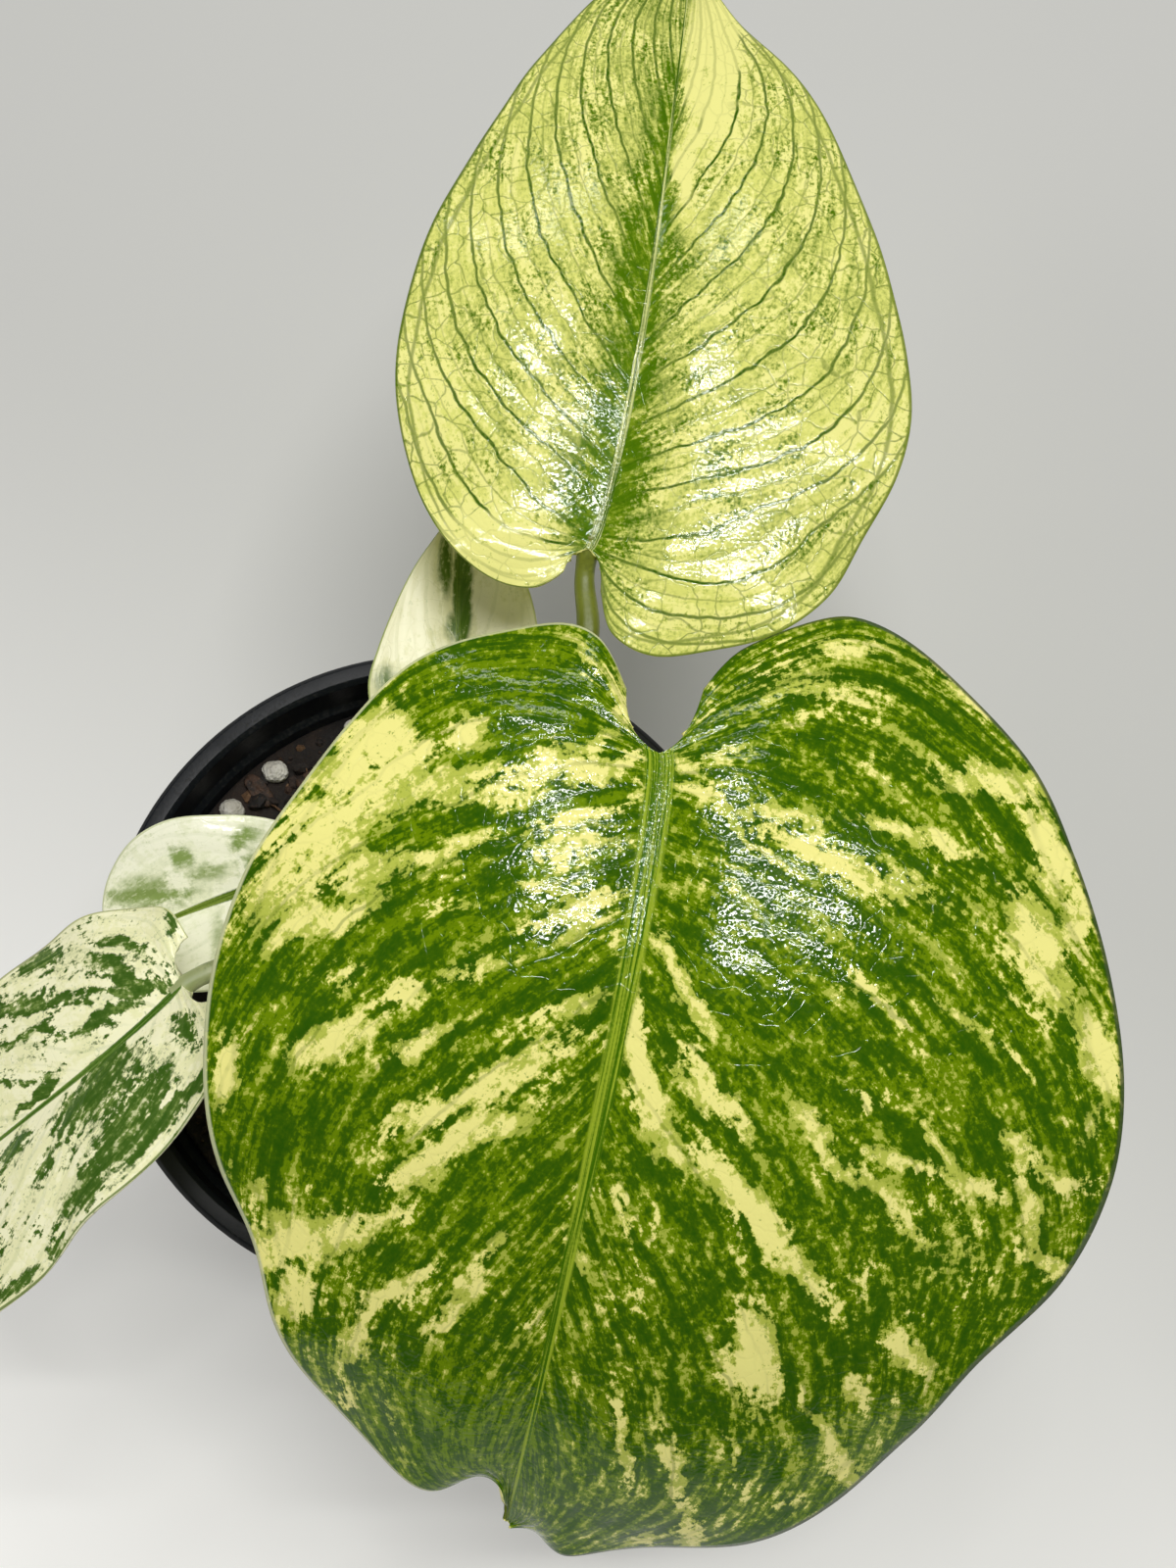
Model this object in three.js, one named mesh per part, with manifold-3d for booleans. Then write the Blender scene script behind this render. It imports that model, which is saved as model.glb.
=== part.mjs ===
// A young mint monstera: five heart-shaped leaves on stalks from one short stem, in a round nursery pot.
// Millimetres, +Z up. The origin is the centre of the pot's underside.

import * as THREE from 'three';
import { mergeVertices } from 'three/addons/utils/BufferGeometryUtils.js';
import Module from 'manifold-3d';

const wasm = await Module();
wasm.setup();

// Clearance between pieces that touch on the real plant
const GAP = 0.3;

// Pot
const POT_HEIGHT = 89;
const RIM_RADIUS = 52;
const LIP_WIDTH = 3.7;
const LIP_DEPTH = 3.6;
const LIP_EASE = 0.5;
const LIP_ROUND = 0.8;
const COLLAR_HEIGHT = 14;
const COLLAR_RADIUS = 50.6;
const COLLAR_TAPER = 0.4;
const COLLAR_STEP = 1.2;
const SHOULDER_RADIUS = 47.7;
const BASE_RADIUS = 38.2;
const BASE_EDGE = 0.8;
const FLOOR = 1.6;
const LEDGE_LEVEL = 81;
const LEDGE_RADIUS = 46.8;
const LEDGE_SLOPE = 1;
const CAVITY_RADIUS = 37;
const DRAIN_HOLES = 6;
const DRAIN_RADIUS = 3.5;
const DRAIN_CIRCLE = 27;
const DRAIN_SIDES = 16;
const ROUND_SIDES = 56;

// Soil
const SOIL_LEVEL = 79;
const SOIL_RINGS = 10;
const TOP_BAND = 1;
const SOIL_LUMPS = 60;
const LUMP_REACH = 4.5;
const LUMP_RISE = 1.1;
const LUMP_BIAS = 0.7;
const WALL_RELIEF = 0.2;
const SOIL_SEED = 7;

// Perlite grains on the soil: x, y, radius
const GRAINS = [
  [-26.5, 34.3, 2.1],
  [-33.4, 27.6, 2],
  [-13.8, 41.8, 1.5],
  [-22.7, 23.4, 1.2],
  [26.4, 30.6, 1.8],
  [36.8, -6.2, 2],
  [12.7, -33.5, 1.7],
  [-24.3, -28.8, 2.2],
  [-38.6, -9.4, 1.5],
];
const GRAIN_STRETCH = [1.08, 0.94, 0.86];
const GRAIN_SINK = 0.35;
const GRAIN_DENT = 0.09;
const GRAIN_WAVES = [2.3, 1.9];

// Bark chips on the soil: x, y, length, width, turn in degrees
const CHIPS = [
  [-29.2, 31, 6.5, 3.2, -50],
  [-19.8, 32.6, 6.5, 4, 20],
  [2.5, 32.8, 8, 3.4, 10],
  [33.5, 15.4, 7, 3.8, 80],
  [25.4, -24.6, 9, 4, -30],
  [-7.5, -25.3, 7, 3.6, 60],
  [-33.8, -20.6, 8, 3.2, -70],
];
const CHIP_THICKNESS = 1.8;
const CHIP_TAPER = 0.62;
const CHIP_ARCH = 0.5;
const CHIP_SINK = 0.3;

// Stem: its path from the foot in the soil to the tip, and its radius at each point
const STEM_PATH = [
  [7, 3, 55],
  [7, 3, 70],
  [7, 3.2, 80],
  [7.4, 3.6, 86],
  [8.2, 4.3, 92],
  [9.2, 5.1, 98],
  [10.2, 6, 104],
  [11.2, 6.9, 109],
  [11.8, 7.4, 112.5],
];
const STEM_RADII = [3.6, 4, 4.2, 3.5, 4, 3.4, 3.8, 3.1, 1.4];
const STEM_SIDES = 12;
const STEM_STEPS = 22;
const STEM_HOLE_SLACK = 0.7;

// Leaf blades. Each rib line is a pair of side veins and runs: its foot on the midrib, then where it meets
// the margin on the left and on the right, each as a distance along and across the leaf from the junction
const BLADE_THICKNESS = 0.9;
const MARGIN_THICKNESS = 0.7;
const KEEL_DEPTH = 1.8;
const KEEL_WIDTH = 2.6;
const ROWS_PER_RIB = 2;
const COLUMN_CROWDING = 1.4;
const LOBE_TURN = 0.75;
const RIB_TURN = 0.22;
const LOBE_SHARE = 0.25;
const QUILT = 0.35;
const MIDRIB_SKEW = 0.6;
const CREST_POWER = 1.5;
const RIPPLE_POWER = 3;

const LEAVES = [
  {
    name: 'large',
    junction: [35, 17.6, 150],
    heading: -101.8,
    pitch: [8, -61],
    roll: 0,
    length: 123,
    bow: 2.2,
    crest: 2.5,
    crestWidth: 8,
    arch: 0.0025,
    wave: 0.9,
    waves: 7,
    columns: 6,
    ribs: [
      [0, -10, 4.2, -8.3, -6],
      [0.6, -18, 8.6, -14, -11],
      [1.6, -25, 17, -16, -18],
      [3, -26.5, 25, -12.8, -26],
      [4.5, -23.5, 36, -6, -35.5],
      [7, -13, 49, 3, -42],
      [11, 1, 58, 15, -47],
      [17, 15, 65, 28, -51.6],
      [25, 31, 69.5, 42, -53.3],
      [35, 47, 70.6, 56, -51.5],
      [46, 62, 67.2, 69, -47.5],
      [57, 76, 57.8, 80, -40.8],
      [68, 90, 51.9, 91, -36],
      [79, 103.5, 44.8, 101, -29.5],
      [90, 113.5, 34.3, 110, -19.5],
      [100, 120, 21.5, 114.8, -11.5],
      [107, 123.7, 12, 112.2, -5.5],
      [112, 124.9, 7, 112.8, -1.8],
      [117.5, 124.6, 3.6, 118, -0.6],
      [122.6, 123.2, 0.6, 122.8, -0.5],
    ],
    stalk: {
      from: 7,
      seat: 'under',
      path: [[16.6, 9, 119], [24.5, 13.4, 134]],
      radii: [2.7, 2.2, 2, 1.9, 1.8],
    },
  },
  {
    name: 'upper',
    junction: [25.5, 56, 126],
    heading: 80.9,
    pitch: [12, -23],
    roll: 0,
    length: 109.8,
    bow: -2.8,
    crest: 2.5,
    crestWidth: 8,
    arch: 0.0025,
    wave: 0.6,
    waves: 6,
    columns: 6,
    ribs: [
      [0, -4, 3, -6, -2.8],
      [0.4, -7, 7, -12, -5.5],
      [1, -6.8, 13, -14.4, -12],
      [2.2, -3.5, 19.3, -12.5, -20],
      [3.5, 2, 24.7, -8.6, -29.4],
      [6, 9, 28.8, -1.5, -36.6],
      [10, 18, 32.1, 8, -40.4],
      [15, 27, 33.6, 18, -44],
      [21, 36, 33.6, 28, -45],
      [28, 45, 32.4, 38, -43.1],
      [36, 54, 30.3, 48, -39.4],
      [45, 63, 27.6, 58, -35.4],
      [54, 71.5, 24.2, 68, -30.6],
      [64, 80.5, 21.2, 77.5, -25],
      [74, 89.5, 17.6, 87, -18],
      [84, 97.5, 13, 95.5, -10],
      [94, 103.5, 7.5, 102, -5.2],
      [103, 107.5, 3.2, 107, -2.2],
      [109.4, 109.8, 0.5, 109.7, -0.5],
    ],
    stalk: {
      from: 5,
      seat: 'end',
      setback: 1,
      dip: 0.25,
      path: [[12.6, 13.4, 109], [20, 27, 117.5], [25.4, 43.5, 122.2]],
      radii: [3, 2.1, 1.9, 1.8, 1.5, 1.35],
    },
  },
  {
    name: 'left',
    junction: [-33.8, -8.1, 118],
    heading: -145.2,
    pitch: [-8, -46],
    roll: 20,
    length: 76.6,
    bow: 2.6,
    crest: 2,
    crestWidth: 6,
    arch: 0.004,
    wave: 0.8,
    waves: 5,
    columns: 5,
    ribs: [
      [0, -2.4, 6.5, -4.4, -5.5],
      [1, -2.2, 11.5, -4.3, -10],
      [2, 0, 16.3, -1.5, -14],
      [4, 5, 19.2, 4, -17.6],
      [7.5, 12, 21, 10.5, -20],
      [12, 20, 22.7, 18, -20.8],
      [18, 29, 23.3, 26, -20.1],
      [25, 38, 25.2, 34, -18.4],
      [33, 46.5, 25.4, 42.5, -15.6],
      [42, 55, 22.8, 51, -11.9],
      [51, 62.5, 18.2, 59, -8.2],
      [60, 69, 11.5, 66.5, -4.8],
      [69, 73.5, 5.4, 72.5, -2],
      [76.2, 76.4, 0.5, 76.3, -0.5],
    ],
    stalk: {
      from: 4,
      seat: 'end',
      setback: 1.1,
      dip: 0.15,
      path: [[2.6, 3, 103], [-10, -0.6, 112.8]],
      radii: [2.8, 1.9, 1.7, 1.5, 1.3],
    },
  },
  {
    name: 'small',
    junction: [-17.2, 11.5, 102],
    heading: -162,
    pitch: [10, -27],
    roll: -12,
    length: 33.8,
    bow: -0.6,
    crest: 3,
    crestWidth: 7,
    arch: 0.002,
    wave: 0.3,
    waves: 3,
    columns: 4,
    ribs: [
      [0, -1.6, 4, -1.6, -3.6],
      [1, 1, 8, 0.5, -7.2],
      [2.5, 5.5, 10.8, 5, -10.6],
      [6, 11.5, 12.2, 11, -13],
      [10.5, 17.5, 12.6, 17.5, -14.6],
      [16, 23, 11.4, 23.5, -13.6],
      [21.5, 27.8, 8.6, 28.3, -10.4],
      [26.5, 31, 5, 31.5, -6.3],
      [31, 33, 1.9, 33.2, -2.5],
      [33.6, 33.8, 0.4, 33.8, -0.4],
    ],
    stalk: {
      from: 3,
      seat: 'end',
      setback: 0.9,
      dip: 0.2,
      path: [[2.8, 5.3, 92], [-6, 8.4, 97.6]],
      radii: [2.2, 1.5, 1.3, 1.1, 1],
    },
  },
  {
    name: 'back',
    junction: [5.7, 34.7, 101],
    heading: 91.1,
    pitch: [14, -8],
    roll: 0,
    length: 38.5,
    bow: 0.5,
    crest: 2,
    crestWidth: 6,
    arch: 0.002,
    wave: 0.3,
    waves: 3,
    columns: 4,
    ribs: [
      [0, -2.6, 4.4, -2.6, -4.4],
      [1, -1.6, 9.2, -1.4, -8.4],
      [2.5, 2, 13.4, 3, -11.6],
      [6, 7.5, 14.6, 9.5, -12.6],
      [11, 13.5, 13, 16, -12.2],
      [16.5, 19.5, 10.7, 22, -11],
      [22.5, 25.5, 7.8, 28, -8.7],
      [29, 31.5, 4.3, 33, -5.6],
      [34.5, 36, 1.7, 36.6, -2.6],
      [38.3, 38.5, 0.4, 38.5, -0.4],
    ],
    stalk: {
      from: 4,
      seat: 'end',
      setback: 0.9,
      dip: 0.2,
      path: [[8.2, 9.6, 96], [7.2, 21, 98.6]],
      radii: [2.2, 1.5, 1.3, 1.1, 1],
    },
  },
];

// Stalk tubes
const STALK_SIDES = 8;
const STALK_STEPS = 14;
const STALK_STRAIGHT = 5;
const STALK_LEAD = 3;
const SEAT_REACH = 1.4;
const SEAT_GAP = 0.45;

// Colours taken from the photograph
const PLASTIC = { color: '#1e2121', roughness: 0.45, metalness: 0 };
const SOIL = { color: '#21170f', roughness: 0.95, metalness: 0 };
const PERLITE = { color: '#d5d3c8', roughness: 0.9, metalness: 0 };
const BARK = { color: '#3d2a1c', roughness: 0.9, metalness: 0 };
const STALK = { color: '#5d6618', roughness: 0.5, metalness: 0 };
const BLADE_COLOURS = {
  large: '#4c7208',
  upper: '#c2ca6a',
  left: '#c9cc96',
  small: '#dadab8',
  back: '#e8e4be',
};

// Random draws between 0 and 1, the same on each run
const DRAW_FACTOR = 1103515245;
const DRAW_SHIFT = 12345;
const DRAW_RANGE = 2 ** 31;

// Distance under which two vertices are one
const MERGE_DISTANCE = 1e-4;

// Geometry helpers

function solidOf(geometry) {
  const bare = geometry.clone();
  bare.deleteAttribute('normal');
  bare.deleteAttribute('uv');
  const merged = mergeVertices(bare, MERGE_DISTANCE);
  return new wasm.Manifold(new wasm.Mesh({
    numProp: 3,
    vertProperties: new Float32Array(merged.attributes.position.array),
    triVerts: new Uint32Array(merged.index.array),
  }));
}

function geometryOf(solid) {
  const mesh = solid.getMesh();
  const geometry = new THREE.BufferGeometry();
  geometry.setAttribute('position', new THREE.BufferAttribute(mesh.vertProperties, 3));
  geometry.setIndex(new THREE.BufferAttribute(mesh.triVerts, 1));
  return geometry;
}

function movePoints(geometry, move) {
  const position = geometry.attributes.position;
  const point = new THREE.Vector3();
  for (let i = 0; i < position.count; i += 1) {
    point.fromBufferAttribute(position, i);
    move(point);
    position.setXYZ(i, point.x, point.y, point.z);
  }
  return geometry;
}

function turned(profile) {
  const points = profile.map(([radius, height]) => new THREE.Vector2(radius, height));
  return new THREE.LatheGeometry(points, ROUND_SIDES).rotateX(Math.PI / 2);
}

function seededDraw(seed) {
  let state = seed;
  return () => {
    state = (state * DRAW_FACTOR + DRAW_SHIFT) % DRAW_RANGE;
    return state / DRAW_RANGE;
  };
}

// A tube whose radius changes along a smooth path
function taperedTube(path, radii, sides, steps) {
  const points = path.map((point) => new THREE.Vector3(...point));
  const curve = new THREE.CatmullRomCurve3(points, false, 'centripetal');
  const frames = curve.computeFrenetFrames(steps);
  const tube = new THREE.CylinderGeometry(1, 1, 1, sides, steps);
  return movePoints(tube, (point) => {
    const step = Math.round((point.y + 0.5) * steps);
    const place = curve.getUtoTmapping(step / steps) * (radii.length - 1);
    const before = Math.min(Math.floor(place), radii.length - 2);
    const radius = THREE.MathUtils.lerp(radii[before], radii[before + 1], place - before);
    const { x, z } = point;
    point.copy(curve.getPointAt(step / steps));
    point.addScaledVector(frames.normals[step], x * radius);
    point.addScaledVector(frames.binormals[step], -z * radius);
  });
}

// Pot with its lip, collar, inside ledge and drain holes

function potGeometry() {
  const lipInside = RIM_RADIUS - LIP_WIDTH;
  const collarFoot = POT_HEIGHT - COLLAR_HEIGHT;
  const lipFoot = POT_HEIGHT - LIP_DEPTH;
  const pot = solidOf(turned([
    [0, 0],
    [BASE_RADIUS - BASE_EDGE, 0],
    [BASE_RADIUS, BASE_EDGE],
    [SHOULDER_RADIUS, collarFoot],
    [COLLAR_RADIUS - COLLAR_TAPER, collarFoot + COLLAR_STEP],
    [COLLAR_RADIUS, lipFoot - LIP_EASE],
    [RIM_RADIUS, lipFoot + LIP_EASE],
    [RIM_RADIUS, POT_HEIGHT - LIP_ROUND],
    [RIM_RADIUS - LIP_ROUND, POT_HEIGHT],
    [lipInside + LIP_ROUND, POT_HEIGHT],
    [lipInside, POT_HEIGHT - LIP_ROUND],
    [LEDGE_RADIUS + LEDGE_SLOPE, LEDGE_LEVEL + LEDGE_SLOPE],
    [LEDGE_RADIUS, LEDGE_LEVEL],
    [CAVITY_RADIUS, FLOOR],
    [0, FLOOR],
  ]));
  const holes = [];
  for (let i = 0; i < DRAIN_HOLES; i += 1) {
    const angle = (i * 2 * Math.PI) / DRAIN_HOLES;
    const hole = new THREE.CylinderGeometry(DRAIN_RADIUS, DRAIN_RADIUS, 4 * FLOOR, DRAIN_SIDES);
    hole.rotateX(Math.PI / 2);
    hole.translate(DRAIN_CIRCLE * Math.cos(angle), DRAIN_CIRCLE * Math.sin(angle), FLOOR / 2);
    holes.push(solidOf(hole));
  }
  return geometryOf(holes.reduce((body, hole) => body.subtract(hole), pot));
}

// Soil with its lumps, the stem's hole and the seats of grains and chips

const draw = seededDraw(SOIL_SEED);
const lumps = Array.from({ length: SOIL_LUMPS }, () => {
  const radius = LEDGE_RADIUS * Math.sqrt(draw());
  const angle = 2 * Math.PI * draw();
  const rise = LUMP_RISE * (2 * draw() - LUMP_BIAS);
  return { x: radius * Math.cos(angle), y: radius * Math.sin(angle), rise };
});

function soilHeight(x, y) {
  const fromWall = Math.min(1, (LEDGE_RADIUS - Math.hypot(x, y)) / LUMP_REACH);
  const relief = lumps.reduce((sum, lump) => {
    const distance = Math.hypot(x - lump.x, y - lump.y) / LUMP_REACH;
    return sum + lump.rise * Math.exp(-distance * distance);
  }, 0);
  return SOIL_LEVEL + relief * Math.max(WALL_RELIEF, fromWall);
}

function grainGeometry([x, y, radius], growth, index) {
  const grain = new THREE.IcosahedronGeometry(radius + growth, 1);
  movePoints(grain, (point) => {
    const { x: a, y: b, z: c } = point;
    const dent = Math.sin(GRAIN_WAVES[0] * a + index) * Math.cos(GRAIN_WAVES[1] * b - c);
    point.multiplyScalar(1 + GRAIN_DENT * dent);
    point.set(point.x * GRAIN_STRETCH[0], point.y * GRAIN_STRETCH[1], point.z * GRAIN_STRETCH[2]);
  });
  return grain.translate(x, y, soilHeight(x, y) + radius * GRAIN_SINK);
}

function chipGeometry([x, y, length, width, turn], growth) {
  const [long, wide, thick] = [length, width, CHIP_THICKNESS].map((size) => size + 2 * growth);
  const chip = new THREE.BoxGeometry(long, wide, thick, 3, 1, 1);
  movePoints(chip, (point) => {
    const end = Math.abs(point.x) / (length / 2);
    point.y *= THREE.MathUtils.lerp(1, CHIP_TAPER, end * end);
    point.z += CHIP_ARCH * Math.cos(end * Math.PI / 2);
  });
  chip.rotateZ(THREE.MathUtils.degToRad(turn));
  return chip.translate(x, y, soilHeight(x, y) + CHIP_THICKNESS * CHIP_SINK);
}

function soilGeometry() {
  const wallRadius = (height) => {
    const share = (height - FLOOR) / (LEDGE_LEVEL - FLOOR);
    return THREE.MathUtils.lerp(CAVITY_RADIUS, LEDGE_RADIUS, share) - GAP;
  };
  const foot = FLOOR + GAP;
  const profile = [[0, foot], [wallRadius(foot), foot], [wallRadius(SOIL_LEVEL), SOIL_LEVEL]];
  for (let ring = SOIL_RINGS - 1; ring >= 0; ring -= 1) {
    profile.push([(wallRadius(SOIL_LEVEL) * ring) / SOIL_RINGS, SOIL_LEVEL]);
  }
  const heap = movePoints(turned(profile), (point) => {
    if (point.z > SOIL_LEVEL - TOP_BAND) {
      point.z = soilHeight(point.x, point.y);
    }
  });
  const [x, y, depth] = STEM_PATH[0];
  const radius = STEM_RADII[2] + STEM_HOLE_SLACK;
  const hole = new THREE.CylinderGeometry(radius, radius, POT_HEIGHT - depth + GAP, STEM_SIDES * 2);
  hole.rotateX(Math.PI / 2);
  hole.translate(x, y, (POT_HEIGHT + depth - GAP) / 2);
  let soil = solidOf(heap).subtract(solidOf(hole));
  GRAINS.forEach((grain, i) => {
    soil = soil.subtract(solidOf(grainGeometry(grain, GAP, i)));
  });
  CHIPS.forEach((chip) => {
    soil = soil.subtract(solidOf(chipGeometry(chip, GAP)));
  });
  return geometryOf(soil);
}

// Leaf blades

function midribAcross(leaf, along) {
  const share = THREE.MathUtils.clamp(along / leaf.length, 0, 1);
  return leaf.bow * Math.sin(Math.PI * share ** MIDRIB_SKEW);
}

// The point of the blade's upper face at a flat place along and across it, lowered by a depth
function bladePoint(leaf, along, across, depth = 0) {
  const heading = THREE.MathUtils.degToRad(leaf.heading);
  const roll = THREE.MathUtils.degToRad(leaf.roll);
  const [start, end] = leaf.pitch.map(THREE.MathUtils.degToRad);
  const bend = (end - start) / leaf.length;
  const pitch = start + bend * along;
  const forward = new THREE.Vector3(Math.cos(heading), Math.sin(heading), 0);
  const side = new THREE.Vector3(-Math.sin(heading), Math.cos(heading), 0);
  const lift = forward.clone().multiplyScalar(-Math.sin(pitch)).setZ(Math.cos(pitch));
  const left = side.clone().multiplyScalar(Math.cos(roll)).addScaledVector(lift, Math.sin(roll));
  const normal = lift.clone().multiplyScalar(Math.cos(roll)).addScaledVector(side, -Math.sin(roll));
  const offset = Math.abs(across - midribAcross(leaf, along));
  const crest = leaf.crest * (1 - Math.exp(-((offset / leaf.crestWidth) ** CREST_POWER)));
  const point = new THREE.Vector3(...leaf.junction);
  point.addScaledVector(forward, (Math.sin(pitch) - Math.sin(start)) / bend);
  point.z += (Math.cos(start) - Math.cos(pitch)) / bend;
  point.addScaledVector(left, across);
  return point.addScaledVector(normal, crest - leaf.arch * offset * offset - depth);
}

function keelDepth(leaf, along, across) {
  const offset = (across - midribAcross(leaf, along)) / KEEL_WIDTH;
  const taper = THREE.MathUtils.clamp(1 - along / leaf.length, 0, 1);
  return KEEL_DEPTH * taper * Math.exp(-offset * offset);
}

function bladeGeometry(leaf) {
  const footPoint = ([foot]) => new THREE.Vector2(foot, midribAcross(leaf, foot));
  const feet = new THREE.SplineCurve(leaf.ribs.map(footPoint));
  const margins = {
    1: new THREE.SplineCurve(leaf.ribs.map(([, along, across]) => new THREE.Vector2(along, across))),
    [-1]: new THREE.SplineCurve(leaf.ribs.map(([, , , along, across]) => new THREE.Vector2(along, across))),
  };
  const rows = ROWS_PER_RIB * (leaf.ribs.length - 1);
  const columns = leaf.columns;
  const positions = [];
  for (const face of [0, 1]) {
    for (let row = 0; row <= rows; row += 1) {
      const place = row / rows;
      const foot = feet.getPoint(place);
      const turn = THREE.MathUtils.lerp(LOBE_TURN, RIB_TURN, Math.min(1, place / LOBE_SHARE));
      for (let column = -columns; column <= columns; column += 1) {
        const side = column < 0 ? -1 : 1;
        const share = Math.abs(column / columns) ** COLUMN_CROWDING;
        const end = margins[side].getPoint(place);
        const middle = foot.clone().lerp(end, 0.5).lerp(new THREE.Vector2(foot.x, end.y), turn);
        const flat = new THREE.QuadraticBezierCurve(foot, middle, end).getPoint(share);
        const ripple = leaf.wave * share ** RIPPLE_POWER * Math.sin(2 * Math.PI * leaf.waves * place + side);
        const pillow = QUILT * Math.sin(Math.PI * row / ROWS_PER_RIB) ** 2 * Math.sin(Math.PI * share);
        const thickness = THREE.MathUtils.lerp(BLADE_THICKNESS, MARGIN_THICKNESS, share);
        const depth = face * (thickness + keelDepth(leaf, flat.x, flat.y)) - ripple - pillow;
        positions.push(...bladePoint(leaf, flat.x, flat.y, depth));
      }
    }
  }
  const width = 2 * columns + 1;
  const under = (rows + 1) * width;
  const triangles = [];
  const quad = (a, b, c, d) => triangles.push(a, b, c, a, c, d);
  for (let row = 0; row < rows; row += 1) {
    for (let column = 0; column < width - 1; column += 1) {
      const a = row * width + column;
      const [b, c, d] = [a + width, a + width + 1, a + 1];
      quad(a, b, c, d);
      triangles.push(a + under, c + under, b + under, a + under, d + under, c + under);
    }
  }
  for (let row = 0; row < rows; row += 1) {
    const right = row * width;
    const left = right + width - 1;
    quad(right, right + under, right + width + under, right + width);
    quad(left, left + width, left + width + under, left + under);
  }
  for (let column = 0; column < width - 1; column += 1) {
    const tip = rows * width + column;
    quad(column, column + 1, column + 1 + under, column + under);
    quad(tip, tip + under, tip + 1 + under, tip + 1);
  }
  const geometry = new THREE.BufferGeometry();
  geometry.setAttribute('position', new THREE.Float32BufferAttribute(positions, 3));
  geometry.setIndex(triangles);
  return geometry;
}

// Stem and stalks

function stemGeometry(growth = 0) {
  return taperedTube(STEM_PATH, STEM_RADII.map((radius) => radius + growth), STEM_SIDES, STEM_STEPS);
}

// Where the stalk meets its blade: below the midrib, or in line with it at the junction
function stalkSeat(leaf) {
  const { seat, setback, dip, radii } = leaf.stalk;
  const tipRadius = radii.at(-1);
  const start = bladePoint(leaf, 0, 0);
  const forward = bladePoint(leaf, 0.5, 0).sub(bladePoint(leaf, -0.5, 0)).normalize();
  const left = bladePoint(leaf, 0, 0.5).sub(bladePoint(leaf, 0, -0.5)).normalize();
  const normal = forward.clone().cross(left);
  if (seat === 'under') {
    const along = SEAT_REACH * tipRadius;
    const depth = BLADE_THICKNESS + keelDepth(leaf, tipRadius, 0) + SEAT_GAP;
    const end = bladePoint(leaf, along, midribAcross(leaf, along), depth);
    return { end, lead: end.clone().addScaledVector(normal, -STALK_STRAIGHT) };
  }
  const end = start.addScaledVector(normal, -tipRadius).addScaledVector(forward, -setback);
  const lead = end.clone().addScaledVector(forward, -STALK_LEAD);
  return { end, lead: lead.addScaledVector(normal, -dip * STALK_STRAIGHT) };
}

function stalkGeometry(leaf) {
  const { from, path, radii } = leaf.stalk;
  const { end, lead } = stalkSeat(leaf);
  const points = [STEM_PATH[from], ...path, lead.toArray(), end.toArray()];
  const tube = taperedTube(points, radii, STALK_SIDES, STALK_STEPS);
  return geometryOf(solidOf(tube).subtract(solidOf(stemGeometry(GAP))));
}

// The whole plant in its pot

const monstera = new THREE.Group();

function addPiece(name, geometry, finish) {
  const piece = new THREE.Mesh(geometry, new THREE.MeshStandardMaterial(finish));
  piece.name = name;
  monstera.add(piece);
}

addPiece('pot', potGeometry(), PLASTIC);
addPiece('soil', soilGeometry(), SOIL);
GRAINS.forEach((grain, i) => addPiece(`perlite_${i + 1}`, grainGeometry(grain, 0, i), PERLITE));
CHIPS.forEach((chip, i) => addPiece(`bark_${i + 1}`, chipGeometry(chip, 0), BARK));
addPiece('stem', stemGeometry(), STALK);
for (const leaf of LEAVES) {
  addPiece(`stalk_${leaf.name}`, stalkGeometry(leaf), STALK);
  addPiece(`leaf_${leaf.name}`, bladeGeometry(leaf), { ...STALK, color: BLADE_COLOURS[leaf.name] });
}

export default monstera;
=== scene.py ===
"""Looks of a young mint monstera in its nursery pot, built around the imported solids."""
import math
import random
from types import SimpleNamespace

import bmesh
import bpy
from mathutils import Matrix, Vector, noise
from mathutils.bvhtree import BVHTree


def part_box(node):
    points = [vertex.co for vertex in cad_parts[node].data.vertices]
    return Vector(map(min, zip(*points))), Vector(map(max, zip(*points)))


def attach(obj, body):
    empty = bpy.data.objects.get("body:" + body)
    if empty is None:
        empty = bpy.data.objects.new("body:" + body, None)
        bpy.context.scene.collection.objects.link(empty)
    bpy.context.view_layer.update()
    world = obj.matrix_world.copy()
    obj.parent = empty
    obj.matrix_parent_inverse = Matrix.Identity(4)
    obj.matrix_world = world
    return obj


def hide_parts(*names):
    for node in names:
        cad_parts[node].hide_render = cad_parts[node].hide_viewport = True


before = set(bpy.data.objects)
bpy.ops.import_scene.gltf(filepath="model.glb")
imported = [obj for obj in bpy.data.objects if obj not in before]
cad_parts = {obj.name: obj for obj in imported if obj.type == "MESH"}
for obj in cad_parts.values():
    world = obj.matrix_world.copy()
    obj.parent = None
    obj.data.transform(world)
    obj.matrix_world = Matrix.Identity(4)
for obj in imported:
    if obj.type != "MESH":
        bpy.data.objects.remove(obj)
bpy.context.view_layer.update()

# The same noise in every run
noise.seed_set(1)

MM = 0.001

# Camera, fitted to the pot's rim in the 1200 x 1600 photograph. Places are in millimetres
PHOTO_SIZE = (1200, 1600)
FOCAL_PIXELS = 2300
SENSOR_HEIGHT = 36
CAMERA_PLACE = Vector((25.5, -65, 442))
CAMERA_TILT = math.radians(15)

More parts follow.
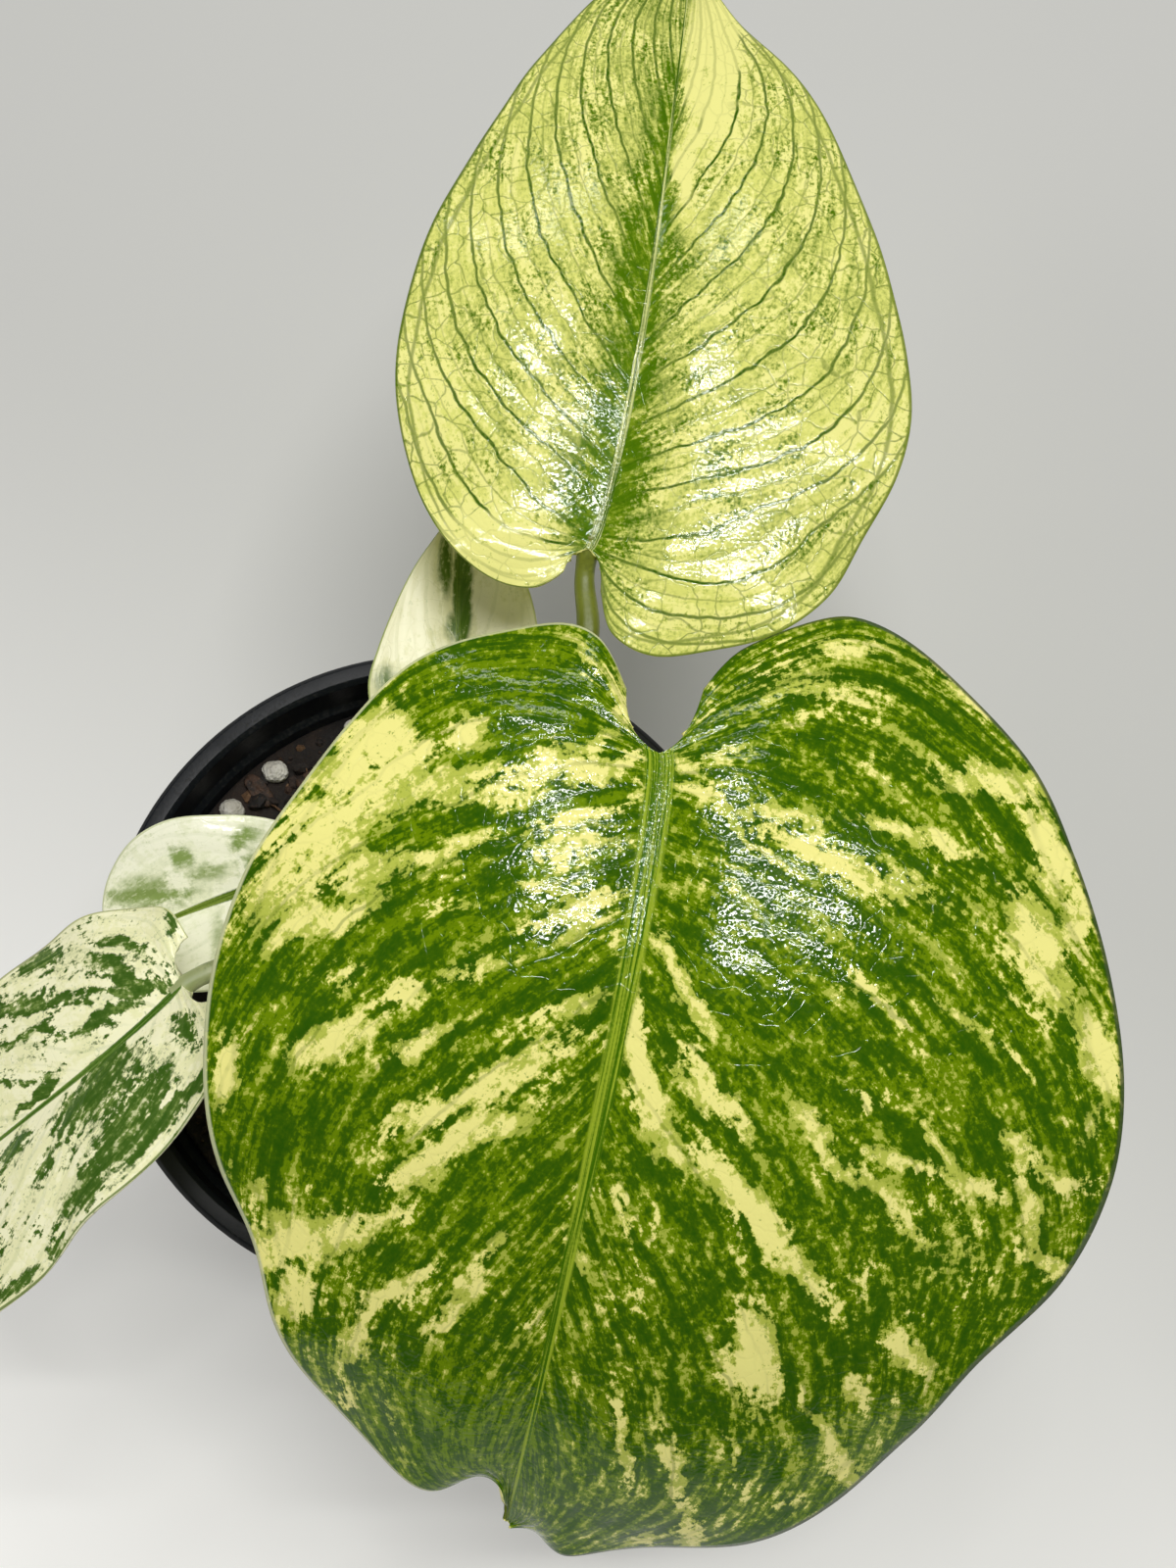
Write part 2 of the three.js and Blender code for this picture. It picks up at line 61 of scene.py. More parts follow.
# Pot: the outline of its wall as radius and height, from the middle of the underside to the floor inside
POT_OUTLINE = [
    (0, 0.4),
    (16, 0.4),
    (16.6, 0),
    (35.6, 0),
    (36, 0.4),
    (36.6, 0.4),
    (37, 0),
    (37.4, 0),
    (38.2, 0.8),
    (39.6, 12),
    (39.9, 12.2),
    (47.7, 75),
    (50.2, 76.2),
    (50.6, 84.9),
    (52, 85.9),
    (52, 88.2),
    (51.2, 89),
    (49.1, 89),
    (48.3, 88.2),
    (47.8, 82),
    (46.8, 81),
    (37, 1.6),
    (0, 1.6),
]
DRAIN_HOLES = 6
DRAIN_RADIUS = 3.5
DRAIN_CIRCLE = 27
ROUND_STEPS = 144
EDGE_ROUNDING = 0.35

# Soil: what fills the pot, as radius and height from the middle of its underside to the edge of its top
SOIL_OUTLINE = [(0, 1.9), (36.7, 1.9), (46.3, 79)]
SOIL_LEVEL = 79
SOIL_RINGS = 72
SOIL_RELIEF = 0.9
CRUMBS = 1500
CRUMB_REACH = 45.6
FIBRES = 50
PERLITE_DUST = 60

# Perlite grains on the soil, as radii, and bark chips, as length, width and turn in degrees
GRAIN_RADII = (2.1, 2.0, 1.5, 1.2, 1.8, 2.0, 1.7, 2.2, 1.5)
GRAIN_STRETCH = (1.08, 0.94, 0.86)
CHIPS = [
    (6.5, 3.2, -50),
    (6.5, 4, 20),
    (8, 3.4, 10),
    (7, 3.8, 80),
    (9, 4, -30),
    (7, 3.6, 60),
    (8, 3.2, -70),
]
CHIP_THICKNESS = 1.8
CHIP_TAPER = 0.62
CHIP_ARCH = 0.5

# Stem: its path from the foot in the soil to the tip, and its radius at each point
STEM_PATH = [
    (7, 3, 55),
    (7, 3, 70),
    (7, 3.2, 80),
    (7.4, 3.6, 86),
    (8.2, 4.3, 92),
    (9.2, 5.1, 98),
    (10.2, 6, 104),
    (11.2, 6.9, 109),
    (11.8, 7.4, 112.5),
]
STEM_RADII = (3.6, 4, 4.2, 3.5, 4, 3.4, 3.8, 3.1, 1.4)

# Leaf blades. Each rib line is a pair of side veins: its foot on the midrib, then where it meets the margin
# on the left and on the right, each as a distance along and across the leaf from the junction
BLADE_THICKNESS = 0.5
KEEL_DEPTH = 1.7
KEEL_WIDTH = 2.6
LOBE_TURN = 0.75
RIB_TURN = 0.22
LOBE_SHARE = 0.25
GROOVE_POWER = 0.7
MIDRIB_SKEW = 0.6
CREST_POWER = 1.5
RIPPLE_POWER = 3
SWEEP_POWER = 0.7
BASAL_LINES = 6
MARKING_SPREAD = 1.1
MARKING_EDGE = 1.2
COLUMN_CROWDING = 1.4
SOLID_THICKNESS = 0.9
STALK_AROUND = 28
STALK_STEPS = 90
STALK_LEAD = 3
STALK_STRAIGHT = 5
SEAT_REACH = 1.4
SEAT_GAP = 0.3

LEAVES = [
    SimpleNamespace(
        name="large", junction=(35, 17.6, 150), heading=-101.8, pitch=(8, -61), roll=0, length=123,
        bow=2.2, crest=2.5, crest_width=8, arch=0.0025, wave=0.9, waves=7, rows=14, columns=64,
        sweep=(1.6, 1.2, 2.6), quilt=0.26,
        ribs=[
            (0, -10, 4.2, -8.3, -6),
            (0.6, -18, 8.6, -14, -11),
            (1.6, -25, 17, -16, -18),
            (3, -26.5, 25, -12.8, -26),
            (4.5, -23.5, 36, -6, -35.5),
            (7, -13, 49, 3, -42),
            (11, 1, 58, 15, -47),
            (17, 15, 65, 28, -51.6),
            (25, 31, 69.5, 42, -53.3),
            (35, 47, 70.6, 56, -51.5),
            (46, 62, 67.2, 69, -47.5),
            (57, 76, 57.8, 80, -40.8),
            (68, 90, 51.9, 91, -36),
            (79, 103.5, 44.8, 101, -29.5),
            (90, 113.5, 34.3, 110, -19.5),
            (100, 120, 21.5, 114.8, -11.5),
            (107, 123.7, 12, 112.2, -5.5),
            (112, 124.9, 7, 112.8, -1.8),
            (117.5, 124.6, 3.6, 118, -0.6),
            (122.6, 123.2, 0.6, 122.8, -0.5),
        ],
        stalk=SimpleNamespace(start=7, under=True, setback=0, dip=0, radii=(2.7, 2.2, 2, 1.9, 1.8),
                              path=[(16.6, 9, 119), (24.5, 13.4, 134)]),
    ),
    SimpleNamespace(
        name="upper", junction=(25.5, 56, 126), heading=80.9, pitch=(12, -23), roll=0, length=109.8,
        bow=-2.8, crest=2.5, crest_width=8, arch=0.0025, wave=0.6, waves=6, rows=14, columns=60,
        sweep=(1.3, 1.6, 3.0), quilt=0.12,
        ribs=[
            (0, -4, 3, -6, -2.8),
            (0.4, -7, 7, -12, -5.5),
            (1, -6.8, 13, -14.4, -12),
            (2.2, -3.5, 19.3, -12.5, -20),
            (3.5, 2, 24.7, -8.6, -29.4),
            (6, 9, 28.8, -1.5, -36.6),
            (10, 18, 32.1, 8, -40.4),
            (15, 27, 33.6, 18, -44),
            (21, 36, 33.6, 28, -45),
            (28, 45, 32.4, 38, -43.1),
            (36, 54, 30.3, 48, -39.4),
            (45, 63, 27.6, 58, -35.4),
            (54, 71.5, 24.2, 68, -30.6),
            (64, 80.5, 21.2, 77.5, -25),
            (74, 89.5, 17.6, 87, -18),
            (84, 97.5, 13, 95.5, -10),
            (94, 103.5, 7.5, 102, -5.2),
            (103, 107.5, 3.2, 107, -2.2),
            (109.4, 109.8, 0.5, 109.7, -0.5),
        ],
        stalk=SimpleNamespace(start=5, under=False, setback=1, dip=0.25, radii=(3, 2.1, 1.9, 1.8, 1.5, 1.35),
                              path=[(12.6, 13.4, 109), (20, 27, 117.5), (25.4, 43.5, 122.2)]),
    ),
    SimpleNamespace(
        name="left", junction=(-33.8, -8.1, 118), heading=-145.2, pitch=(-8, -46), roll=20, length=76.6,
        bow=2.6, crest=2, crest_width=6, arch=0.004, wave=0.8, waves=5, rows=12, columns=44,
        sweep=(1.2, 0.8, 2.0), quilt=0.24,
        ribs=[
            (0, -2.4, 6.5, -4.4, -5.5),
            (1, -2.2, 11.5, -4.3, -10),
            (2, 0, 16.3, -1.5, -14),
            (4, 5, 19.2, 4, -17.6),
            (7.5, 12, 21, 10.5, -20),
            (12, 20, 22.7, 18, -20.8),
            (18, 29, 23.3, 26, -20.1),
            (25, 38, 25.2, 34, -18.4),
            (33, 46.5, 25.4, 42.5, -15.6),
            (42, 55, 22.8, 51, -11.9),
            (51, 62.5, 18.2, 59, -8.2),
            (60, 69, 11.5, 66.5, -4.8),
            (69, 73.5, 5.4, 72.5, -2),
            (76.2, 76.4, 0.5, 76.3, -0.5),
        ],
        stalk=SimpleNamespace(start=4, under=False, setback=1.1, dip=0.15, radii=(2.8, 1.9, 1.7, 1.5, 1.3),
                              path=[(2.6, 3, 103), (-10, -0.6, 112.8)]),
    ),
    SimpleNamespace(
        name="small", junction=(-17.2, 11.5, 102), heading=-162, pitch=(10, -27), roll=-12, length=33.8,
        bow=-0.6, crest=3, crest_width=7, arch=0.002, wave=0.3, waves=3, rows=12, columns=32,
        sweep=(1.0, 0.6, 1.5), quilt=0.18,
        ribs=[
            (0, -1.6, 4, -1.6, -3.6),
            (1, 1, 8, 0.5, -7.2),
            (2.5, 5.5, 10.8, 5, -10.6),
            (6, 11.5, 12.2, 11, -13),
            (10.5, 17.5, 12.6, 17.5, -14.6),
            (16, 23, 11.4, 23.5, -13.6),
            (21.5, 27.8, 8.6, 28.3, -10.4),
            (26.5, 31, 5, 31.5, -6.3),
            (31, 33, 1.9, 33.2, -2.5),
            (33.6, 33.8, 0.4, 33.8, -0.4),
        ],
        stalk=SimpleNamespace(start=3, under=False, setback=0.9, dip=0.2, radii=(2.2, 1.5, 1.3, 1.1, 1),
                              path=[(2.8, 5.3, 92), (-6, 8.4, 97.6)]),
    ),
    SimpleNamespace(
        name="back", junction=(5.7, 34.7, 101), heading=91.1, pitch=(14, -8), roll=0, length=38.5,
        bow=0.5, crest=2, crest_width=6, arch=0.002, wave=0.3, waves=3, rows=12, columns=32,
        sweep=(1.0, 0.6, 1.5), quilt=0.18,
        ribs=[
            (0, -2.6, 4.4, -2.6, -4.4),
            (1, -1.6, 9.2, -1.4, -8.4),
            (2.5, 2, 13.4, 3, -11.6),
            (6, 7.5, 14.6, 9.5, -12.6),
            (11, 13.5, 13, 16, -12.2),
            (16.5, 19.5, 10.7, 22, -11),
            (22.5, 25.5, 7.8, 28, -8.7),
            (29, 31.5, 4.3, 33, -5.6),
            (34.5, 36, 1.7, 36.6, -2.6),
            (38.3, 38.5, 0.4, 38.5, -0.4),
        ],
        stalk=SimpleNamespace(start=4, under=False, setback=0.9, dip=0.2, radii=(2.2, 1.5, 1.3, 1.1, 1),
                              path=[(8.2, 9.6, 96), (7.2, 21, 98.6)]),
    ),
]

# Leaf markings from the photograph, in its pixels: x, y, half length, half width, turn in degrees,
# strength. A strength above 0 makes the blade pale there, and one below 0 makes it green
MARKINGS = {
    "large": [
        (385, 775, 90, 46, 45, 1.5), (318, 862, 86, 40, 52, 1.4), (355, 890, 66, 38, 25, 1.0),
        (440, 800, 60, 20, 20, 1.1), (520, 690, 90, 40, 10, 0.8), (850, 700, 110, 36, -6, 0.5),
        (545, 788, 125, 13, 4, 1.3), (485, 815, 60, 14, 10, 1.0), (482, 737, 27, 20, 0, 1.6),
        (602, 668, 40, 14, -38, 1.4), (634, 716, 38, 14, -72, 1.4), (600, 758, 48, 10, 3, 1.2),
        (600, 836, 55, 11, 25, 1.2), (535, 846, 24, 8, 0, 1.1), (450, 868, 62, 12, 10, 0.9),
        (590, 870, 60, 9, 12, 1.0), (590, 930, 58, 13, 22, 1.2), (318, 938, 58, 16, 25, 1.1),
        (462, 931, 40, 11, 15, 1.4), (545, 903, 32, 9, 12, 1.0), (578, 958, 48, 10, 24, 1.0),
        (480, 992, 38, 9, 18, 1.2), (535, 974, 45, 7, 24, 1.0), (355, 975, 46, 12, 22, 1.0),
        (352, 1000, 26, 7, 25, 1.1), (412, 1016, 19, 8, 0, 1.1), (335, 1062, 40, 22, 10, 1.3),
        (426, 1067, 38, 9, 28, 1.2), (229, 1094, 40, 11, 80, 1.5), (488, 1110, 112, 15, 27, 1.4),
        (540, 1075, 60, 9, 18, 1.0), (460, 1173, 84, 13, 29, 1.4), (310, 1268, 56, 22, 10, 1.6),
        (382, 1248, 36, 9, 36, 1.3), (300, 1318, 30, 20, 60, 1.4), (366, 1358, 36, 13, 66, 1.3),
        (402, 1322, 44, 8, 38, 1.3), (482, 1308, 68, 9, 58, 1.3), (455, 1350, 26, 9, 50, 1.1),
        (352, 1421, 20, 9, 30, 1.2), (404, 1458, 42, 8, -75, 1.1), (425, 1456, 11, 10, 0, 1.0),
        (580, 1030, 54, 9, 22, 0.9), (265, 1215, 20, 10, 70, 0.8), (235, 1185, 24, 8, 70, 0.8),
        (652, 1092, 80, 14, -80, 1.6), (684, 1172, 34, 8, -55, 1.3), (692, 1010, 58, 10, -64, 1.5),
        (734, 1120, 62, 13, -54, 1.5), (700, 1105, 40, 7, -58, 0.9), (778, 1252, 92, 15, -52, 1.6),
        (776, 1386, 46, 22, -80, 1.6), (744, 1396, 34, 8, -75, 1.0), (636, 1466, 48, 7, -82, 1.2),
        (633, 1240, 34, 6, -72, 1.1), (588, 1280, 34, 4, -75, 1.0), (693, 1508, 46, 7, -80, 1.1),
        (703, 1560, 18, 11, -80, 1.3), (660, 1572, 24, 6, 15, 1.0), (746, 1482, 26, 5, -65, 1.0),
        (803, 1535, 16, 9, 20, 1.1), (852, 1482, 56, 8, -58, 1.1), (668, 1435, 30, 5, -82, 0.8),
        (1056, 962, 50, 21, -76, 1.5), (1072, 1006, 22, 12, -40, 1.2), (1098, 938, 28, 9, 75, 1.1),
        (1122, 1078, 46, 15, -72, 1.5), (1045, 1180, 38, 11, -48, 1.4), (1048, 1238, 40, 10, -75, 1.4),
        (1000, 1214, 24, 10, -15, 1.2), (1096, 1212, 26, 10, 10, 1.2), (1066, 1292, 36, 10, -30, 1.1),
        (842, 1165, 52, 10, -52, 1.3), (924, 1190, 34, 8, -20, 1.1), (960, 1168, 32, 6, -62, 1.1),
        (905, 1222, 56, 6, -45, 1.0), (932, 1385, 24, 10, -45, 1.1), (874, 1410, 24, 5, -78, 1.0),
        (800, 834, 44, 7, -10, 1.1), (830, 868, 62, 8, -24, 1.1), (882, 892, 62, 12, -24, 1.2),
        (928, 850, 46, 8, -14, 1.1), (965, 866, 40, 7, -22, 1.0), (715, 812, 26, 6, -22, 1.4),
        (748, 846, 50, 5, -42, 1.1), (776, 868, 26, 6, -35, 1.1), (1012, 796, 52, 16, -4, 1.3),
        (1070, 866, 48, 16, -62, 1.5), (982, 692, 54, 12, -38, 1.3), (862, 662, 48, 8, 0, 0.9),
        (742, 770, 20, 4, 0, 1.0), (702, 782, 22, 5, -18, 1.0), (1115, 1150, 22, 8, 60, 0.8),
        (1030, 1075, 36, 6, -50, 0.9), (975, 1040, 40, 6, -35, 0.8), (885, 1020, 44, 6, -35, 0.8),
        (880, 1128, 12, 9, 0, 1.0), (1030, 1020, 20, 6, -40, 0.8), (920, 775, 60, 20, 0, 0.35),
        (870, 700, 90, 30, 0, 0.3), (995, 1300, 60, 30, -40, 0.3),
        (525, 690, 96, 34, 6, -1.5), (545, 740, 68, 16, 0, -1.3), (434, 722, 30, 20, -50, -1.3),
        (484, 769, 30, 6, 5, -1.2), (380, 720, 60, 5, 44, -0.9), (596, 815, 46, 10, 18, -1.4),
        (530, 840, 28, 8, 10, -1.0), (414, 852, 44, 9, 24, -1.3), (536, 885, 36, 7, 2, -1.2),
        (628, 880, 34, 10, 55, -1.2), (470, 904, 66, 5, 4, -1.1), (430, 948, 92, 17, 16, -1.3),
        (336, 920, 17, 8, 5, -1.0), (542, 966, 30, 7, 22, -1.1), (374, 976, 28, 5, 3, -0.9),
        (616, 718, 14, 7, -40, -1.2), (640, 762, 15, 8, 0, -1.2), (505, 1008, 78, 13, 24, -1.0),
        (262, 1020, 42, 42, 0, -0.6), (300, 1160, 70, 46, 0, -0.5), (500, 1250, 60, 40, 50, -0.3),
        (332, 817, 8, 4, 20, -1.3), (378, 774, 4, 4, 0, -1.2), (475, 1470, 90, 62, 0, -0.9),
        (450, 1120, 22, 5, 40, -0.9), (308, 1288, 6, 5, 0, -1.0), (775, 1010, 80, 60, -40, -0.3),
    ],
    "upper": [
        (515, 560, 84, 36, -20, 1.8), (560, 582, 40, 20, 10, 1.8), (724, 55, 30, 80, 0, 2.6),
        (702, 165, 12, 50, 0, 2.2), (440, 430, 24, 60, 0, 0.8), (880, 450, 50, 60, 0, 0.5),
        (700, 620, 90, 34, 0, 0.4), (480, 250, 24, 60, -20, 0.4),
        (618, 480, 34, 80, 0, -0.7), (590, 515, 26, 34, 0, -0.8), (640, 260, 14, 90, -12, -0.5),
    ],
    "left": [
        (36, 980, 22, 11, 25, -1.4), (22, 1028, 42, 6, 14, -1.4), (26, 1058, 26, 5, 18, -1.2),
        (122, 966, 32, 7, -18, -1.2), (120, 995, 36, 11, -25, -1.3), (138, 1012, 50, 6, 2, -1.3),
        (112, 1036, 46, 6, 26, -1.4), (176, 940, 8, 12, 0, -1.0), (104, 1108, 56, 22, 58, -1.3),
        (74, 1132, 36, 18, 60, -1.2), (128, 1152, 66, 24, 60, -1.2), (168, 1142, 62, 9, 48, -1.3),
        (86, 1214, 36, 16, 58, -1.2), (188, 1046, 18, 20, 0, -0.7), (46, 1188, 24, 7, 72, -1.0),
        (60, 1272, 18, 9, 62, -1.1), (16, 1310, 26, 7, 34, -1.1), (34, 1120, 32, 5, 42, -1.4),
        (132, 1056, 58, 6, 38, 1.8), (52, 1122, 60, 7, 43, 1.6), (30, 1102, 34, 3, 8, -1.1), (20, 1160, 38, 8, 56, -1.1), (60, 1022, 44, 3, -4, -0.8),
    ],
    "small": [
        (186, 876, 12, 9, 0, -1.2), (250, 856, 16, 10, 20, -1.2), (264, 880, 12, 9, 0, -1.0),
        (216, 888, 22, 9, 10, -1.0), (150, 915, 46, 10, 4, -1.2), (150, 903, 24, 9, 0, -0.9),
        (182, 912, 30, 7, 10, -0.9),
        (222, 955, 8, 30, 0, -0.7),
    ],
    "back": [
        (472, 600, 9, 60, 0, -1.7), (455, 575, 9, 40, 0, -1.0), (394, 694, 18, 20, 0, -0.75),
        (462, 640, 10, 20, 0, -0.9),
    ],
}


def mm(*place):
    """A place in millimetres, as a vector in metres."""
    return Vector(place) * MM


def clamp(value, low=0.0, high=1.0):
    return max(low, min(high, value))


def blend(a, b, share):
    return a + (b - a) * share


def photo_pixel(place):
    """The photograph's pixel that a place in millimetres falls on."""
    ray = Matrix.Rotation(CAMERA_TILT, 3, "X").transposed() @ (place - CAMERA_PLACE)
    width, height = PHOTO_SIZE
    return width / 2 - FOCAL_PIXELS * ray.x / ray.z, height / 2 + FOCAL_PIXELS * ray.y / ray.z


def new_piece(name, bm, smooth=True):
    """Makes an object of a bmesh, which is freed."""
    mesh = bpy.data.meshes.new(name)
    for face in bm.faces:
        face.smooth = smooth
    bm.to_mesh(mesh)
    bm.free()
    piece = bpy.data.objects.new(name, mesh)
    bpy.context.scene.collection.objects.link(piece)
    return piece


# Camera


def make_camera():
    data = bpy.data.cameras.new("camera")
    data.sensor_fit = "VERTICAL"
    data.sensor_height = SENSOR_HEIGHT
    data.lens = FOCAL_PIXELS / PHOTO_SIZE[1] * SENSOR_HEIGHT
    data.clip_start = 0.01
    camera = bpy.data.objects.new("camera", data)
    camera.location = CAMERA_PLACE * MM
    camera.rotation_euler = (CAMERA_TILT, 0, 0)
    bpy.context.scene.collection.objects.link(camera)
    bpy.context.scene.camera = camera


# Finishes


class Wire:
    """A socket of a finish. Sums and products of wires and numbers add Math nodes."""

    def __init__(self, finish, socket):
        self.finish = finish
        self.socket = socket

    def maths(self, operation, *terms):
        return self.finish.node("Math", {"operation": operation}, dict(enumerate(terms)))

    def __add__(self, other):
        return self.maths("ADD", self, other)

    def __sub__(self, other):
        return self.maths("SUBTRACT", self, other)

    def __rsub__(self, other):
        return self.maths("SUBTRACT", other, self)

    def __mul__(self, other):
        return self.maths("MULTIPLY", self, other)

    def __truediv__(self, other):
        return self.maths("DIVIDE", self, other)

    def __rtruediv__(self, other):
        return self.maths("DIVIDE", other, self)

    def __pow__(self, other):
        return self.maths("POWER", self, other)

    def __abs__(self):
        return self.maths("ABSOLUTE", self)

    __radd__ = __add__
    __rmul__ = __mul__


def paint(red, green, blue):
    """A colour picked on a screen, in 0 to 255, as a shader's linear colour."""
    shares = [value / 255 for value in (red, green, blue)]
    linear = [s / 12.92 if s <= 0.04045 else ((s + 0.055) / 1.055) ** 2.4 for s in shares]
    return (*linear, 1.0)


class Finish:
    """A material whose nodes are made by calls."""

    def __init__(self, name):
        self.material = bpy.data.materials.new(name)
        self.material.use_nodes = True
        self.tree = self.material.node_tree
        self.tree.nodes.clear()

    def node(self, kind, settings=(), inputs=(), output=0):
        made = self.tree.nodes.new("ShaderNode" + kind)
        for key, value in dict(settings).items():
            setattr(made, key, value)
        for key, value in dict(inputs).items():
            if isinstance(value, Wire):
                self.tree.links.new(value.socket, made.inputs[key])
            else:
                made.inputs[key].default_value = value
        return Wire(self, made.outputs[output]) if len(made.outputs) else None

    def place(self):
        return self.node("TexCoord", output="Object")

    def uv(self, name):
        return self.node("UVMap", {"uv_map": name})

    def attribute(self, name):
        return self.node("Attribute", {"attribute_name": name}, output="Fac")

    def split(self, vector):
        made = self.node("SeparateXYZ", inputs={0: vector})
        return [Wire(self, socket) for socket in made.socket.node.outputs]

    def join(self, x, y, z=0.0):
        return self.node("CombineXYZ", inputs={0: x, 1: y, 2: z})

    def noise(self, vector, scale, detail=2.0, roughness=0.5, distortion=0.0):
        values = {"Vector": vector, "Scale": scale, "Detail": detail, "Roughness": roughness,
                  "Distortion": distortion}
        return self.node("TexNoise", inputs=values)

    def cells(self, vector, scale, feature="F1", dimensions="3D"):
        settings = {"feature": feature, "voronoi_dimensions": dimensions}
        return self.node("TexVoronoi", settings, {"Vector": vector, "Scale": scale}, "Distance")

    def step(self, value, low, high):
        """0 below low, 1 above high and smooth between. With low above high it falls instead."""
        values = {"Value": value, "From Min": low, "From Max": high}
        return self.node("MapRange", {"interpolation_type": "SMOOTHSTEP"}, values)

    def mix(self, factor, a, b):
        return self.node("Mix", {"data_type": "RGBA"}, {0: factor, 6: a, 7: b}, 2)

    def bump(self, height, distance=MM, strength=1.0):
        return self.node("Bump", inputs={"Height": height, "Distance": distance, "Strength": strength})

    def surface(self, colour, roughness, normal=None, **constants):
        values = {"Base Color": colour, "Roughness": roughness, **constants}
        if normal is not None:
            values["Normal"] = normal
        shader = self.node("BsdfPrincipled", inputs=values)
        self.node("OutputMaterial", inputs={"Surface": shader})
        return self.material


# Leaf blades


def spline(points, place):
    """A point on the smooth plane curve through evenly counted points, at a share of the way along it."""
    last = len(points) - 1
    step = min(int(place * last), last - 1)
    share = place * last - step
    before, start, end, after = (points[clamp(step + k, 0, last)] for k in (-1, 0, 1, 2))
    lead, trail = (end - before) / 2, (after - start) / 2
    curve = (2 * (start - end) + lead + trail) * share ** 3
    return curve + (3 * (end - start) - 2 * lead - trail) * share ** 2 + lead * share + start


def midrib_across(leaf, along):
    return leaf.bow * math.sin(math.pi * clamp(along / leaf.length) ** MIDRIB_SKEW)


def blade_axes(leaf, along):
    """The midrib's point above a length along the leaf, with the leaf's left and its normal there."""
    heading, roll = math.radians(leaf.heading), math.radians(leaf.roll)
    start, end = (math.radians(angle) for angle in leaf.pitch)
    bend = (end - start) / leaf.length
    pitch = start + bend * along
    forward = Vector((math.cos(heading), math.sin(heading), 0))
    side = Vector((-math.sin(heading), math.cos(heading), 0))
    up = Vector((0, 0, 1))
    lift = up * math.cos(pitch) - forward * math.sin(pitch)
    point = Vector(leaf.junction) + forward * ((math.sin(pitch) - math.sin(start)) / bend)
    point += up * ((math.cos(start) - math.cos(pitch)) / bend)
    return point, side * math.cos(roll) + lift * math.sin(roll), lift * math.cos(roll) - side * math.sin(roll)


def blade_point(leaf, along, across, rise=0.0):
    """A point of the blade's upper face in millimetres, raised by a height."""
    point, left, normal = blade_axes(leaf, along)
    offset = abs(across - midrib_across(leaf, along))
    crest = leaf.crest * (1 - math.exp(-((offset / leaf.crest_width) ** CREST_POWER)))
    return point + left * across + normal * (crest - leaf.arch * offset * offset + rise)


def keel_share(leaf, along, across):
    offset = (across - midrib_across(leaf, along)) / KEEL_WIDTH
    return clamp(1 - along / leaf.length) * math.exp(-offset * offset)


def marking(leaf, place):
    """How pale the markings make a place of the blade, from about -1.5 to 1.5."""
    x, y = photo_pixel(place)
    stray = noise.noise_vector(place * 0.17) * 13 + noise.noise_vector(place * 0.5) * 9
    x, y = x + stray.x * BLADE_LOOKS[leaf.name].stray, y + stray.y * BLADE_LOOKS[leaf.name].stray
    pale, green = 0.0, 0.0
    for cx, cy, length, width, turn, strength in MARKINGS[leaf.name]:
        right, down = x - cx, y - cy
        if max(abs(right), abs(down)) > 2.4 * length + 2.4 * width:
            continue
        angle = math.radians(turn)
        u = (right * math.cos(angle) - down * math.sin(angle)) / (length * MARKING_SPREAD)
        v = (right * math.sin(angle) + down * math.cos(angle)) / (width * MARKING_SPREAD)
        weight = abs(strength) * math.exp(-((u * u + v * v) ** MARKING_EDGE))
        if strength > 0:
            pale = max(pale, weight)
        else:
            green = max(green, weight)
    return pale - green


